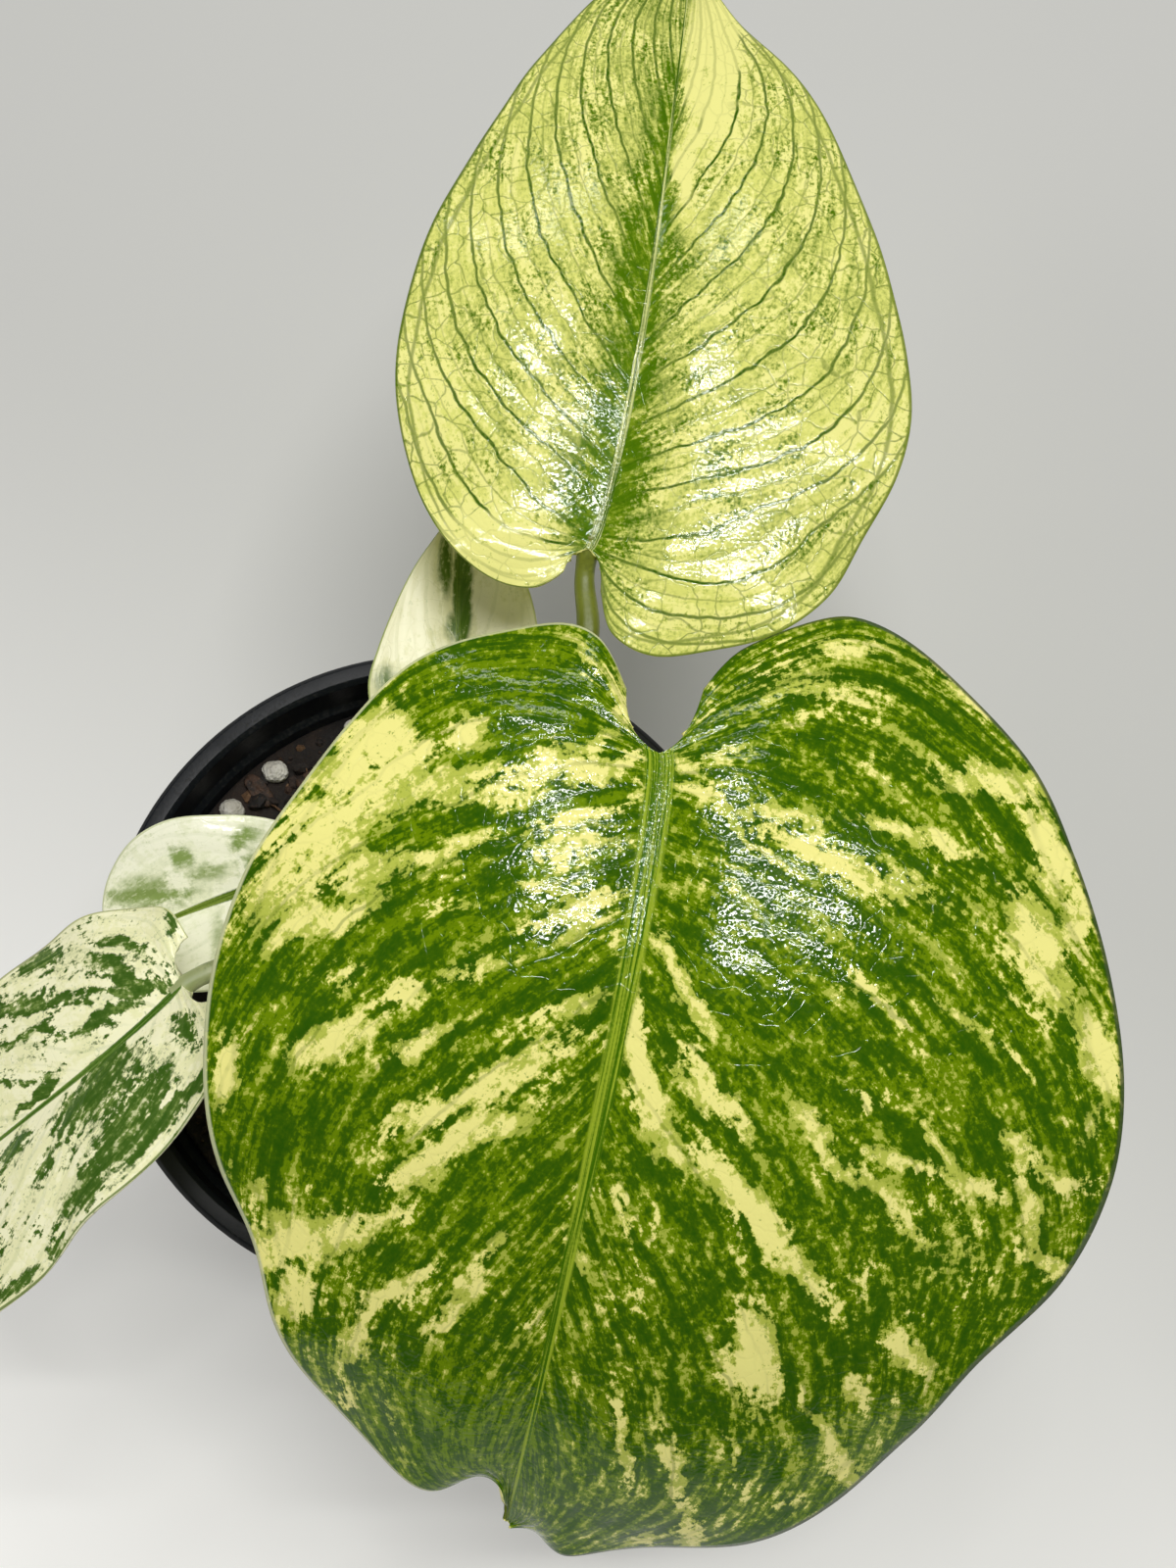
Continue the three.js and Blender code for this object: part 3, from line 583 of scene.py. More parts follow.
class BladeShape:
    """Places on a leaf's blade by their share of the way from the lobes to the tip and out to a margin."""

    def __init__(self, leaf):
        self.leaf = leaf
        self.last = len(leaf.ribs) - 1
        self.feet = [Vector((foot, midrib_across(leaf, foot))) for foot, *_ in leaf.ribs]
        self.margins = {
            True: [Vector((along, across)) for _, along, across, *_ in leaf.ribs],
            False: [Vector((along, across)) for *_, along, across in leaf.ribs],
        }
        self.known = {}

    def line(self, place, left):
        """The foot, middle and end of the line from the midrib to a margin."""
        if (place, left) not in self.known:
            foot, end = spline(self.feet, place), spline(self.margins[left], place)
            turn = blend(LOBE_TURN, RIB_TURN, min(1.0, place / LOBE_SHARE))
            middle = ((foot + end) / 2).lerp(Vector((foot.x, end.y)), turn)
            self.known[place, left] = foot, middle, end
        return self.known[place, left]

    def flat(self, place, share):
        """The distances along and across the leaf, for a share that is below 0 on the right."""
        foot, middle, end = self.line(place, share >= 0)
        out = abs(share)
        return foot * (1 - out) ** 2 + middle * (2 * out * (1 - out)) + end * out ** 2

    def vein(self, place, share):
        """The number of the side vein at a place. Veins leave the midrib at a slant and sweep to the tip."""
        near, far, tipward = self.leaf.sweep
        out = abs(share)
        slant = (near + tipward * place) * out ** SWEEP_POWER + far * out ** 4
        number = place * self.last
        return number - 0.5 * min(number, BASAL_LINES) - slant

    def rise(self, place, share):
        """Ripple of the margin and quilting between the side veins."""
        leaf = self.leaf
        side = 1 if share >= 0 else -1
        out = abs(share)
        ripple = leaf.wave * out ** RIPPLE_POWER * math.sin(2 * math.pi * leaf.waves * place + side)
        groove = abs(math.sin(math.pi * self.vein(place, share))) ** GROOVE_POWER
        return ripple + leaf.quilt * groove * math.sin(math.pi * out)

    def point(self, place, share):
        flat = self.flat(place, share)
        return blade_point(self.leaf, flat.x, flat.y, self.rise(place, share)), flat

    def vein_gap(self, place, share):
        """The distance in millimetres from one side vein to the next."""
        nudge = 0.004
        place = clamp(place, nudge, 1 - nudge)
        share = math.copysign(clamp(abs(share), 0.03, 0.99), share)
        low, high = (place - nudge, share), (place + nudge, share)
        inner, outer = (place, share - nudge), (place, share + nudge)
        along, out = self.flat(*high) - self.flat(*low), self.flat(*outer) - self.flat(*inner)
        rise, slant = self.vein(*high) - self.vein(*low), self.vein(*outer) - self.vein(*inner)
        steepness = (out * rise - along * slant).length / abs(along.cross(out))
        return 1 / max(steepness, 0.01)


def make_blade(leaf):
    shape = BladeShape(leaf)
    bm = bmesh.new()
    bmesh.ops.create_grid(bm, x_segments=leaf.rows * shape.last, y_segments=2 * leaf.columns, size=1)
    flat_map = bm.loops.layers.uv.new("flat")
    vein_map = bm.loops.layers.uv.new("veins")
    pale = bm.verts.layers.float.new("pale")
    gap = bm.verts.layers.float.new("gap")
    offset = bm.verts.layers.float.new("offset")
    thick = bm.verts.layers.deform.verify()
    places = {}
    for vert in bm.verts:
        place = round(clamp((vert.co.x + 1) / 2), 6)
        share = math.copysign(abs(vert.co.y) ** COLUMN_CROWDING, vert.co.y)
        point, flat = shape.point(place, share)
        keel = keel_share(leaf, *flat)
        places[vert] = (flat, shape.vein(place, share), share)
        vert[pale] = marking(leaf, point)
        vert[gap] = shape.vein_gap(place, share)
        vert[offset] = flat.y - midrib_across(leaf, flat.x)
        vert[thick][0] = blend(BLADE_THICKNESS / (BLADE_THICKNESS + KEEL_DEPTH), 1, keel)
        vert.co = point * MM
    for face in bm.faces:
        for loop in face.loops:
            flat, vein, share = places[loop.vert]
            loop[flat_map].uv = flat / 100
            loop[vein_map].uv = (vein, share)
    bmesh.ops.recalc_face_normals(bm, faces=bm.faces)
    piece = new_piece(f"{leaf.name}_blade", bm)
    piece.vertex_groups.new(name="thickness")
    solid = piece.modifiers.new("thickness", "SOLIDIFY")
    solid.thickness = (BLADE_THICKNESS + KEEL_DEPTH) * MM
    solid.offset = -1
    solid.vertex_group = "thickness"
    solid.material_offset = 1
    solid.material_offset_rim = 2
    look = BLADE_LOOKS[leaf.name]
    for material in (blade_finish(leaf, look), blade_finish(leaf, look, under=True), edge_finish(leaf, look)):
        piece.data.materials.append(material)
    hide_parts(f"leaf_{leaf.name}")
    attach(piece, "root")
    return piece


# What sets one leaf's colours apart from another's. Lengths are in millimetres
BLADE_LOOKS = {
    "large": SimpleNamespace(
        dark=paint(44, 88, 0), middle=paint(118, 148, 2), pale=paint(252, 246, 150), sage=paint(190, 200, 82),
        vein=paint(64, 102, 2), rib_dark=paint(66, 110, 0), rib_pale=paint(156, 178, 44),
        base=-0.42, marks=0.94, broad=0.65, streaks=1.1, grain=1.1, crisp=0.12, halo=0.0, halo_width=5.0,
        mottle=0.95, mottle_level=-0.04, specks=0.7, vein_strength=0.45, net=0.2, groove=0.015, stray=1.0,
        vein_width=1.0, rib_width=4.4, rim_start=0.984, rim_left=paint(228, 232, 176), rim_right=paint(58, 84, 14),
        grain_scale=0.8, islands=0.75, pebble=0.026, dimple=0.15, rough=0.05,
    ),
    "upper": SimpleNamespace(
        dark=paint(74, 114, 0), middle=paint(140, 164, 34), pale=paint(248, 245, 152), sage=paint(230, 232, 126),
        vein=paint(54, 96, 0), rib_dark=paint(62, 100, 2), rib_pale=paint(206, 212, 132),
        base=0.2, marks=0.6, broad=0.3, streaks=0.75, grain=1.1, crisp=0.42, halo=0.9, halo_width=3.4,
        mottle=0.7, mottle_level=0.0, specks=0.5, vein_strength=1.0, net=0.8, groove=0.01, stray=0.8,
        vein_width=0.86, rib_width=1.7, rim_start=0.982, rim_left=paint(132, 152, 52), rim_right=paint(96, 124, 26),
        grain_scale=1.4, islands=0.4, pebble=0.018, dimple=0.05, rough=0.06,
    ),
    "left": SimpleNamespace(
        dark=paint(58, 94, 22), middle=paint(128, 152, 74), pale=paint(255, 253, 212), sage=paint(246, 245, 194),
        vein=paint(136, 160, 90), rib_dark=paint(56, 96, 18), rib_pale=paint(112, 142, 60),
        base=0.36, marks=0.8, broad=0.6, streaks=0.8, grain=1.0, crisp=0.14, halo=0.0, halo_width=4.0,
        mottle=0.9, mottle_level=0.02, specks=0.4, vein_strength=0.18, net=0.08, groove=0.02, stray=0.7,
        vein_width=1.0, rib_width=1.4, rim_start=0.975, rim_left=paint(200, 206, 140), rim_right=paint(110, 136, 60),
        grain_scale=0.8, islands=0.5, pebble=0.02, dimple=0.06, rough=0.14,
    ),
    "small": SimpleNamespace(
        dark=paint(134, 156, 86), middle=paint(164, 182, 118), pale=paint(254, 254, 230), sage=paint(243, 245, 214),
        vein=paint(160, 176, 112), rib_dark=paint(76, 104, 20), rib_pale=paint(128, 148, 60),
        base=0.5, marks=0.8, broad=0.35, streaks=0.3, grain=0.5, crisp=0.45, halo=0.0, halo_width=4.0,
        mottle=0.4, mottle_level=0.1, specks=0.2, vein_strength=0.12, net=0.05, groove=0.015, stray=0.4,
        vein_width=1.0, rib_width=2.6, rim_start=0.97, rim_left=paint(214, 220, 176), rim_right=paint(214, 220, 176),
        grain_scale=1.0, islands=0.3, pebble=0.02, dimple=0.06, rough=0.1,
    ),
    "back": SimpleNamespace(
        dark=paint(70, 100, 14), middle=paint(128, 152, 60), pale=paint(240, 237, 201), sage=paint(226, 224, 178),
        vein=paint(164, 174, 112), rib_dark=paint(68, 96, 10), rib_pale=paint(116, 138, 46),
        base=0.6, marks=0.95, broad=0.25, streaks=0.12, grain=0.2, crisp=0.3, halo=0.0, halo_width=4.0,
        mottle=0.4, mottle_level=0.1, specks=0.2, vein_strength=0.15, net=0.05, groove=0.015, stray=0.08,
        vein_width=1.0, rib_width=1.4, rim_start=0.97, rim_left=paint(214, 218, 160), rim_right=paint(160, 176, 100),
        grain_scale=1.0, islands=0.3, pebble=0.01, dimple=0.03, rough=0.26,
    ),
}


def blade_finish(leaf, look, under=False):
    finish = Finish(f"{leaf.name}_blade_{'underside' if under else 'top'}")
    flat = finish.node("VectorMath", {"operation": "SCALE"}, {0: finish.uv("flat"), "Scale": 100.0})
    along, across, _ = finish.split(flat)
    vein, share, _ = finish.split(finish.uv("veins"))
    out = abs(share)
    offset = finish.attribute("offset")
    beside = abs(offset)
    gap = finish.attribute("gap")
    side = finish.step(share, -0.001, 0.001) * 31.0

    # Noise along the veins and noise without direction, all about 0
    wobble = finish.noise(flat, 0.12, 2.0) - 0.5
    course = vein + wobble * 0.2
    broad = finish.noise(finish.join(course * 0.9, out * 2.2, side), 1.0, 5.0, 0.6) - 0.5
    streak = finish.noise(finish.join(course * 3.8, out * 8.0, side), 1.0, 5.0, 0.66) - 0.5
    grain = finish.noise(flat, look.grain_scale, 5.0, 0.68) - 0.5
    fleck = finish.noise(flat, 0.8, 5.0, 0.62) - 0.5
    speck = finish.noise(flat, 2.2, 3.0, 0.6) - 0.5
    cloud = finish.noise(flat, 0.14, 3.0, 0.5) - 0.5

    # Pale and green areas
    field = finish.attribute("pale") * look.marks + look.base
    mixed = finish.step(cloud, -0.1, 0.16) * 1.3 + 0.6
    field = field + broad * (2.0 * look.broad) + (streak * look.streaks + grain * look.grain) * mixed * 2.0
    field = field - (beside / -look.halo_width).maths("EXPONENT", beside / -look.halo_width) * look.halo
    pale = finish.step(field, -look.crisp, look.crisp)
    mottle = fleck * 1.1 + streak * 2.0 + speck * 0.4 + cloud * 0.4 - look.mottle_level
    lighter = finish.step(mottle, -0.05, 0.12) * 0.55 + finish.step(mottle, -0.45, 0.5) * 0.45
    green = finish.mix(lighter * look.mottle, look.dark, look.middle)
    island = finish.step(fleck * 0.9 + streak * 1.1 + speck * 0.2 + field * 0.18, 0.03, 0.1)
    green = finish.mix(island * look.islands, green, look.sage)
    clear = finish.noise(flat, 0.3, 5.0, 0.66) + cloud * 0.8 + streak * 0.6 - 0.5
    cream = finish.mix(finish.step(clear + fleck * 0.7 + field * 0.7 - 0.28, -0.14, 0.1), look.sage, look.pale)
    freckle = finish.step(speck * 0.5 + fleck * 0.9 - clear * 0.4, 0.12, 0.2)
    cream = finish.mix(freckle * look.specks, cream, look.middle)
    colour = finish.mix(pale, green, cream)

    # Side veins, weaker ones between them, one vein inside the margin and the net that joins them
    crook = finish.noise(flat, 0.3, 1.0) - 0.5
    number = course + crook * 0.2 - 0.5
    main = abs(number.maths("WRAP", number, 0.5, -0.5)) * gap
    half = number - 0.5
    minor = abs(half.maths("WRAP", half, 0.5, -0.5)) * gap
    fade = finish.step(out, 1.0, 0.55)
    main = main / look.vein_width + speck * 0.25
    minor = minor / look.vein_width + speck * 0.25
    main_line = finish.step(main, 0.4, 0.14) * (finish.step(out, 1.25, 0.5) * 0.5 + 0.5)
    minor_line = finish.step(minor, 0.26, 0.04) * fade * 0.5
    warped = finish.join(along + wobble * 6.0, across + cloud * 6.0)
    net_line = finish.step(finish.cells(warped, 0.24, "DISTANCE_TO_EDGE", "2D"), 0.05, 0.01)
    collector = finish.step(abs(out - 0.91 + wobble * 0.05) * 34.0, 0.6, 0.12)
    lines = main_line.maths("MAXIMUM", main_line, minor_line)
    lines = lines.maths("MAXIMUM", lines, collector * 0.6)
    fine = net_line * (speck + 0.8) * (out * 0.8 + 0.2)
    shade = lines.maths("MAXIMUM", lines * look.vein_strength, fine * look.net)
    plain = finish.step(finish.attribute("pale"), 1.5, 0.7) * 0.7 + 0.3
    colour = finish.mix(shade * (pale * 0.6 + 0.4) * plain, colour, look.vein)

    # A thin line along each margin
    rim = finish.step(out, look.rim_start, look.rim_start + 0.008)
    rim_colour = finish.mix(side / 31.0, look.rim_left, look.rim_right)
    colour = finish.mix(rim * 0.85, colour, rim_colour)

    # Midrib, striped along its length
    width = (1.0 - along / leaf.length) ** 1.4 * (look.rib_width * 0.42) + look.rib_width * 0.06
    inside = finish.step(beside / width + speck * 0.3, 1.2, 0.75)
    stripe = finish.noise(finish.join(offset * 2.6, along * 0.03, 3.0), 1.0, 3.0, 0.6) - 0.5
    rib = finish.mix(finish.step(stripe + speck * 0.15, -0.08, 0.08), look.rib_dark, look.rib_pale)
    colour = finish.mix(inside, colour, rib)

    # Relief: pebbled skin, sunken veins and ridges along the midrib
    pebble = finish.cells(flat, 1.55, "SMOOTH_F1", "2D")
    dimple = finish.noise(flat, 0.26, 1.0, 0.35)
    relief = pebble * look.pebble + dimple * look.dimple - lines * look.groove - net_line * 0.015
    relief = relief + inside * stripe * 0.08
    if under:
        colour = finish.mix(0.45, colour, look.sage)
        return finish.surface(colour, 0.55, finish.bump(0.0 - relief))
    return finish.surface(colour, look.rough + (speck + 0.5) * 0.06, finish.bump(relief), IOR=1.37)


def edge_finish(leaf, look):
    finish = Finish(f"{leaf.name}_blade_edge")
    grain = finish.noise(finish.place(), 900.0, 3.0)
    colour = finish.mix(finish.step(grain, 0.2, 0.5) * 0.8 + 0.2, look.middle, look.pale)
    return finish.surface(colour, 0.5, finish.bump(grain * 0.02))


# Stem and stalks


def long_spline(points, place):
    """A point on the smooth curve through unevenly spaced points, at a share of their count."""
    last = len(points) - 1
    step = min(int(place * last), last - 1)
    share = place * last - step
    start, end = points[step], points[step + 1]
    before = points[step - 1] if step else start * 2 - end
    after = points[step + 2] if step + 2 <= last else end * 2 - start
    first, middle, final = (math.sqrt(run.length) for run in (start - before, end - start, after - end))
    lead = (start - before) / first - (end - before) / (first + middle) + (end - start) / middle
    trail = (end - start) / middle - (after - start) / (middle + final) + (after - end) / final
    lead, trail = lead * middle, trail * middle
    curve = (2 * (start - end) + lead + trail) * share ** 3
    return curve + (3 * (end - start) - 2 * lead - trail) * share ** 2 + lead * share + start


def make_tube(bm, points, radii, steps, around, profile=None):
    """A closed tube along a curve in millimetres. A profile gives its radius from 1 by share and angle."""
    grid = bmesh.ops.create_grid(bm, x_segments=steps, y_segments=around, size=1)["verts"]
    length_map = bm.loops.layers.uv.verify()
    points = [Vector(point) for point in points]
    places = {}
    for vert in grid:
        place = clamp((vert.co.x + 1) / 2)
        angle = math.pi * vert.co.y
        centre = long_spline(points, place)
        ahead = long_spline(points, min(1.0, place + 0.01)) - long_spline(points, max(0.0, place - 0.01))
        side = ahead.cross(Vector((0, 0, 1))).normalized()
        top = side.cross(ahead).normalized()
        run = place * (len(radii) - 1)
        first = min(int(run), len(radii) - 2)
        radius = blend(radii[first], radii[first + 1], run - first)
        if profile:
            radius *= profile(place, angle)
        places[vert] = (place, (angle / math.pi + 1) / 2)
        vert.co = (centre + (top * math.cos(angle) + side * math.sin(angle)) * radius) * MM
    for face in {face for vert in grid for face in vert.link_faces}:
        for loop in face.loops:
            loop[length_map].uv = places[loop.vert]
    bmesh.ops.remove_doubles(bm, verts=grid, dist=0.002 * MM)
    rims = [edge for edge in bm.edges if edge.is_boundary]
    bmesh.ops.holes_fill(bm, edges=rims)
    bmesh.ops.recalc_face_normals(bm, faces=bm.faces)


def stalk_points(leaf):
    """The stalk's path from inside the stem to its seat below the blade's junction."""
    stalk = leaf.stalk
    tip = stalk.radii[-1]
    here = blade_point(leaf, 0, 0)
    forward = (blade_point(leaf, 0.5, 0) - blade_point(leaf, -0.5, 0)).normalized()
    left = (blade_point(leaf, 0, 0.5) - blade_point(leaf, 0, -0.5)).normalized()
    normal = forward.cross(left)
    if stalk.under:
        along = SEAT_REACH * tip
        depth = SOLID_THICKNESS + KEEL_DEPTH * keel_share(leaf, tip, 0) + SEAT_GAP
        end = blade_point(leaf, along, midrib_across(leaf, along), -depth)
        lead = end - normal * STALK_STRAIGHT
        end = end + normal * 1.4
    else:
        end = here - normal * tip - forward * stalk.setback
        lead = end - forward * STALK_LEAD - normal * (stalk.dip * STALK_STRAIGHT)
        end = end + forward * 3.2 + normal * 0.2
    return [STEM_PATH[stalk.start], *stalk.path, lead, end]


def stalk_profile(place, angle):
    """A groove along the top, with raised edges near the foot, and a swollen joint below the blade."""
    groove = math.exp(-((angle / 0.5) ** 2)) * 0.2
    wings = math.exp(-(((abs(angle) - 0.75) / 0.22) ** 2)) * 0.26 * math.exp(-((place / 0.3) ** 2))
    joint = 0.14 * math.exp(-(((place - 0.91) / 0.05) ** 2))
    return 1 - groove * clamp(1.6 - place * 1.5) + wings + joint


def make_stalk(leaf):
    bm = bmesh.new()
    make_tube(bm, stalk_points(leaf), leaf.stalk.radii, STALK_STEPS, STALK_AROUND, stalk_profile)
    piece = new_piece(f"{leaf.name}_stalk", bm)
    piece.data.materials.append(STALK_FINISHES[leaf.name])
    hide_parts(f"stalk_{leaf.name}")
    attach(piece, "root")


def stem_profile(place, angle):
    """Ring scars where old leaves stood, with low bumps between them."""
    height = blend(55, 112.5, place)
    scars = sum(math.exp(-(((height - level) / 0.45) ** 2)) for level in (80.5, 86.5, 92.3, 98.5, 104.4))
    bumps = noise.noise(Vector((math.cos(angle) * 1.3, math.sin(angle) * 1.3, height * 0.22)))
    return 1 + 0.07 * bumps - 0.05 * scars


def make_stem():
    bm = bmesh.new()
    make_tube(bm, STEM_PATH, STEM_RADII, 150, 40, stem_profile)
    piece = new_piece("stem_core", bm)
    piece.data.materials.append(stem_finish())
    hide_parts("stem")
    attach(piece, "root")


def stalk_finish(name, light, middle, dark):
    finish = Finish(name)
    along, around, _ = finish.split(finish.uv("UVMap"))
    place = finish.place()
    fibre = finish.noise(finish.join(along * 5.0, around * 34.0), 1.0, 3.0, 0.55)
    cloud = finish.noise(place, 120.0, 2.0)
    fleck = finish.noise(place, 1500.0, 2.0)
    colour = finish.mix(finish.step(fibre + (cloud - 0.5) * 0.5, 0.4, 0.62), middle, light)
    colour = finish.mix(finish.step(cloud + (fleck - 0.5) * 0.3, 0.5, 0.66) * 0.6, colour, dark)
    relief = fibre * 0.1 + fleck * 0.04
    return finish.surface(colour, 0.3 + fleck * 0.2, finish.bump(relief), IOR=1.42)


def stem_finish():
    finish = Finish("stem_skin")
    place = finish.place()
    _, _, height = finish.split(place)
    cloud = finish.noise(place, 160.0, 3.0)
    fleck = finish.noise(place, 1400.0, 3.0)
    green = finish.mix(finish.step(cloud, 0.4, 0.6), paint(96, 104, 34), paint(66, 80, 22))
    woody = finish.mix(finish.step(fleck, 0.4, 0.6), paint(96, 78, 42), paint(58, 44, 26))
    low = finish.step(height * 1000.0 + (cloud - 0.5) * 26.0, 96.0, 80.0)
    colour = finish.mix(low, green, woody)
    return finish.surface(colour, 0.45 + fleck * 0.2, finish.bump(cloud * 0.15 + fleck * 0.1))


STALK_FINISHES = {
    "large": stalk_finish("large_stalk_skin", paint(138, 146, 60), paint(98, 110, 28), paint(66, 84, 16)),
    "upper": stalk_finish("upper_stalk_skin", paint(128, 136, 52), paint(93, 102, 24), paint(64, 78, 14)),
    "left": stalk_finish("left_stalk_skin", paint(186, 190, 142), paint(138, 150, 96), paint(92, 112, 52)),
    "small": stalk_finish("small_stalk_skin", paint(180, 184, 138), paint(120, 134, 78), paint(78, 98, 36)),
    "back": stalk_finish("back_stalk_skin", paint(214, 212, 168), paint(170, 174, 118), paint(104, 120, 56)),
}


# Pot


def spun(bm, outline, steps):
    """A closed round body from its outline, as radius and height in millimetres."""
    corners = [bm.verts.new(mm(radius, 0, height)) for radius, height in outline]
    edges = [bm.edges.new(pair) for pair in zip(corners, corners[1:])]
    bmesh.ops.spin(bm, geom=corners + edges, cent=(0, 0, 0), axis=(0, 0, 1), angle=math.tau, steps=steps,
                   use_merge=True)
    bmesh.ops.remove_doubles(bm, verts=bm.verts, dist=0.002 * MM)
    bmesh.ops.recalc_face_normals(bm, faces=bm.faces)


def make_pot():
    bm = bmesh.new()
    spun(bm, POT_OUTLINE, ROUND_STEPS)
    piece = new_piece("pot_shell", bm)
    bm = bmesh.new()
    for number in range(DRAIN_HOLES):
        turn = Matrix.Rotation(math.tau * number / DRAIN_HOLES, 4, "Z")
        place = turn @ Matrix.Translation(mm(DRAIN_CIRCLE, 0, 0))
        bmesh.ops.create_cone(bm, cap_ends=True, segments=32, radius1=DRAIN_RADIUS * MM,
                              radius2=DRAIN_RADIUS * MM, depth=8 * MM, matrix=place)
    drill = new_piece("drill", bm)
    cut = piece.modifiers.new("drain_holes", "BOOLEAN")
    cut.object = drill
    cut.solver = "EXACT"
    shape = piece.evaluated_get(bpy.context.evaluated_depsgraph_get())
    bored = bpy.data.meshes.new_from_object(shape)
    piece.modifiers.clear()
    piece.data = bored
    bpy.data.objects.remove(drill)
    bevel = piece.modifiers.new("rounding", "BEVEL")
    bevel.width = EDGE_ROUNDING * MM
    bevel.segments = 3
    bevel.angle_limit = math.radians(24)
    for face in bored.polygons:
        face.use_smooth = True
    piece.data.materials.clear()
    piece.data.materials.append(pot_finish())
    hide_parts("pot")
    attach(piece, "root")


def pot_finish():
    finish = Finish("pot_black_plastic")
    place = finish.place()
    x, y, height = finish.split(place)
    cloud = finish.noise(place, 26.0, 3.0, 0.6)
    grain = finish.noise(place, 1800.0, 2.0)
    scratch = finish.noise(finish.join(x * 60.0, y * 60.0, height * 1500.0), 1.0, 3.0, 0.6)
    dust = finish.step(grain + (cloud - 0.5) * 0.9, 0.56, 0.78)
    colour = finish.mix(cloud, paint(9, 12, 16), paint(18, 22, 27))
    colour = finish.mix(dust * 0.14, colour, paint(90, 88, 82))
    rough = 0.36 + cloud * 0.12 + dust * 0.2 + finish.step(scratch, 0.6, 0.72) * 0.08
    relief = grain * 0.02 + scratch * 0.02
    return finish.surface(colour, rough, finish.bump(relief), IOR=1.32)


# Soil with perlite and bark


def packed_surface(name):
    """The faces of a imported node, to look up heights on."""
    bm = bmesh.new()
    bm.from_mesh(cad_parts[name].data)
    surface = BVHTree.FromBMesh(bm)
    bm.free()
    return surface


PACKED_SOIL = packed_surface("soil")


def soil_height(x, y):
    """The height of the packed soil at a place, in millimetres, level across the hole for the stem."""
    place = PACKED_SOIL.ray_cast(mm(x, y, 120), Vector((0, 0, -1)))[0]
    return max(place.z / MM, SOIL_LEVEL - 0.4) if place else SOIL_LEVEL


def make_soil():
    bm = bmesh.new()
    rim, level = SOIL_OUTLINE[-1]
    rings = [(rim * (1 - ring / SOIL_RINGS), level) for ring in range(1, SOIL_RINGS + 1)]
    spun(bm, SOIL_OUTLINE + rings, ROUND_STEPS)
    for vert in bm.verts:
        x, y, z = vert.co / MM
        reach = math.hypot(x, y)
        if z > level - 0.5 and reach < rim - 0.1:
            place = Vector((x, y, 0))
            rough = noise.fractal(place * 0.22, 0.9, 2.1, 4) + 0.5 * noise.fractal(place * 0.9, 0.9, 2.1, 3)
            vert.co.z = (soil_height(x, y) + SOIL_RELIEF * rough * clamp((rim - reach) / 2)) * MM
    piece = new_piece("potting_mix", bm)
    piece.data.materials.append(soil_finish("damp_mix", paint(14, 9, 6), paint(34, 22, 13), paint(58, 41, 26)))
    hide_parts("soil")
    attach(piece, "root")


def scatter_place(draw, reach):
    """A random place on the soil away from the stem, with the soil's height there."""
    while True:
        angle, out = draw.uniform(0, math.tau), reach * math.sqrt(draw.random())
        x, y = out * math.cos(angle), out * math.sin(angle)
        if math.hypot(x - STEM_PATH[0][0], y - STEM_PATH[0][1]) > 4.6:
            return Vector((x, y, soil_height(x, y)))


def any_turn(draw):
    axis = Vector((draw.gauss(0, 1), draw.gauss(0, 1), draw.gauss(0, 1)))
    return Matrix.Rotation(draw.uniform(0, math.tau), 4, axis)


def make_crumbs():
    draw = random.Random(11)
    bm = bmesh.new()
    tone = bm.verts.layers.float.new("tone")
    for _ in range(CRUMBS):
        size = 0.35 + 1.5 * draw.random() ** 2.4
        place = scatter_place(draw, CRUMB_REACH - size)
        place.z += size * draw.uniform(0.0, 0.5)
        stretch = Matrix.Diagonal((draw.uniform(0.8, 1.7), draw.uniform(0.6, 1.0), draw.uniform(0.5, 0.9), 1))
        matrix = Matrix.Translation(place * MM) @ any_turn(draw) @ stretch
        shade = draw.random()
        made = bmesh.ops.create_icosphere(bm, subdivisions=1, radius=size * MM, matrix=matrix)
        for vert in made["verts"]:
            vert.co += (vert.co - place * MM) * draw.uniform(-0.28, 0.28)
            vert[tone] = shade
    piece = new_piece("mix_crumbs", bm, smooth=False)
    piece.data.materials.append(crumb_finish())
    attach(piece, "root")


def make_fibres():
    draw = random.Random(23)
    bm = bmesh.new()
    for _ in range(FIBRES):
        start = scatter_place(draw, CRUMB_REACH - 7)
        heading = draw.uniform(0, math.tau)
        length = draw.uniform(3, 10)
        points = [start + Vector((0, 0, 0.3))]
        for _ in range(3):
            heading += draw.uniform(-0.8, 0.8)
            ahead = points[-1] + Vector((math.cos(heading), math.sin(heading), 0)) * (length / 3)
            out = ahead.xy.length
            if out > CRUMB_REACH:
                ahead.xy = ahead.xy * (CRUMB_REACH / out)
            ahead.z = soil_height(ahead.x, ahead.y) + draw.uniform(0.2, 1.3)
            points.append(ahead)
        radius = draw.uniform(0.12, 0.26)
        make_tube(bm, points, (radius, radius, radius * 0.5), 9, 5)
    piece = new_piece("mix_fibres", bm)
    piece.data.materials.append(soil_finish("dry_fibre", paint(78, 54, 34), paint(116, 84, 54), paint(60, 40, 24)))
    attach(piece, "root")


def soil_finish(name, dark, middle, light):
    finish = Finish(name)
    place = finish.place()
    cloud = finish.noise(place, 140.0, 3.0, 0.6)
    grain = finish.noise(place, 900.0, 4.0, 0.65)
    colour = finish.mix(finish.step(cloud, 0.35, 0.65), dark, middle)
    colour = finish.mix(finish.step(grain, 0.58, 0.74) * 0.7, colour, light)
    return finish.surface(colour, 0.75 + grain * 0.2, finish.bump(grain * 0.5 + cloud * 0.5))


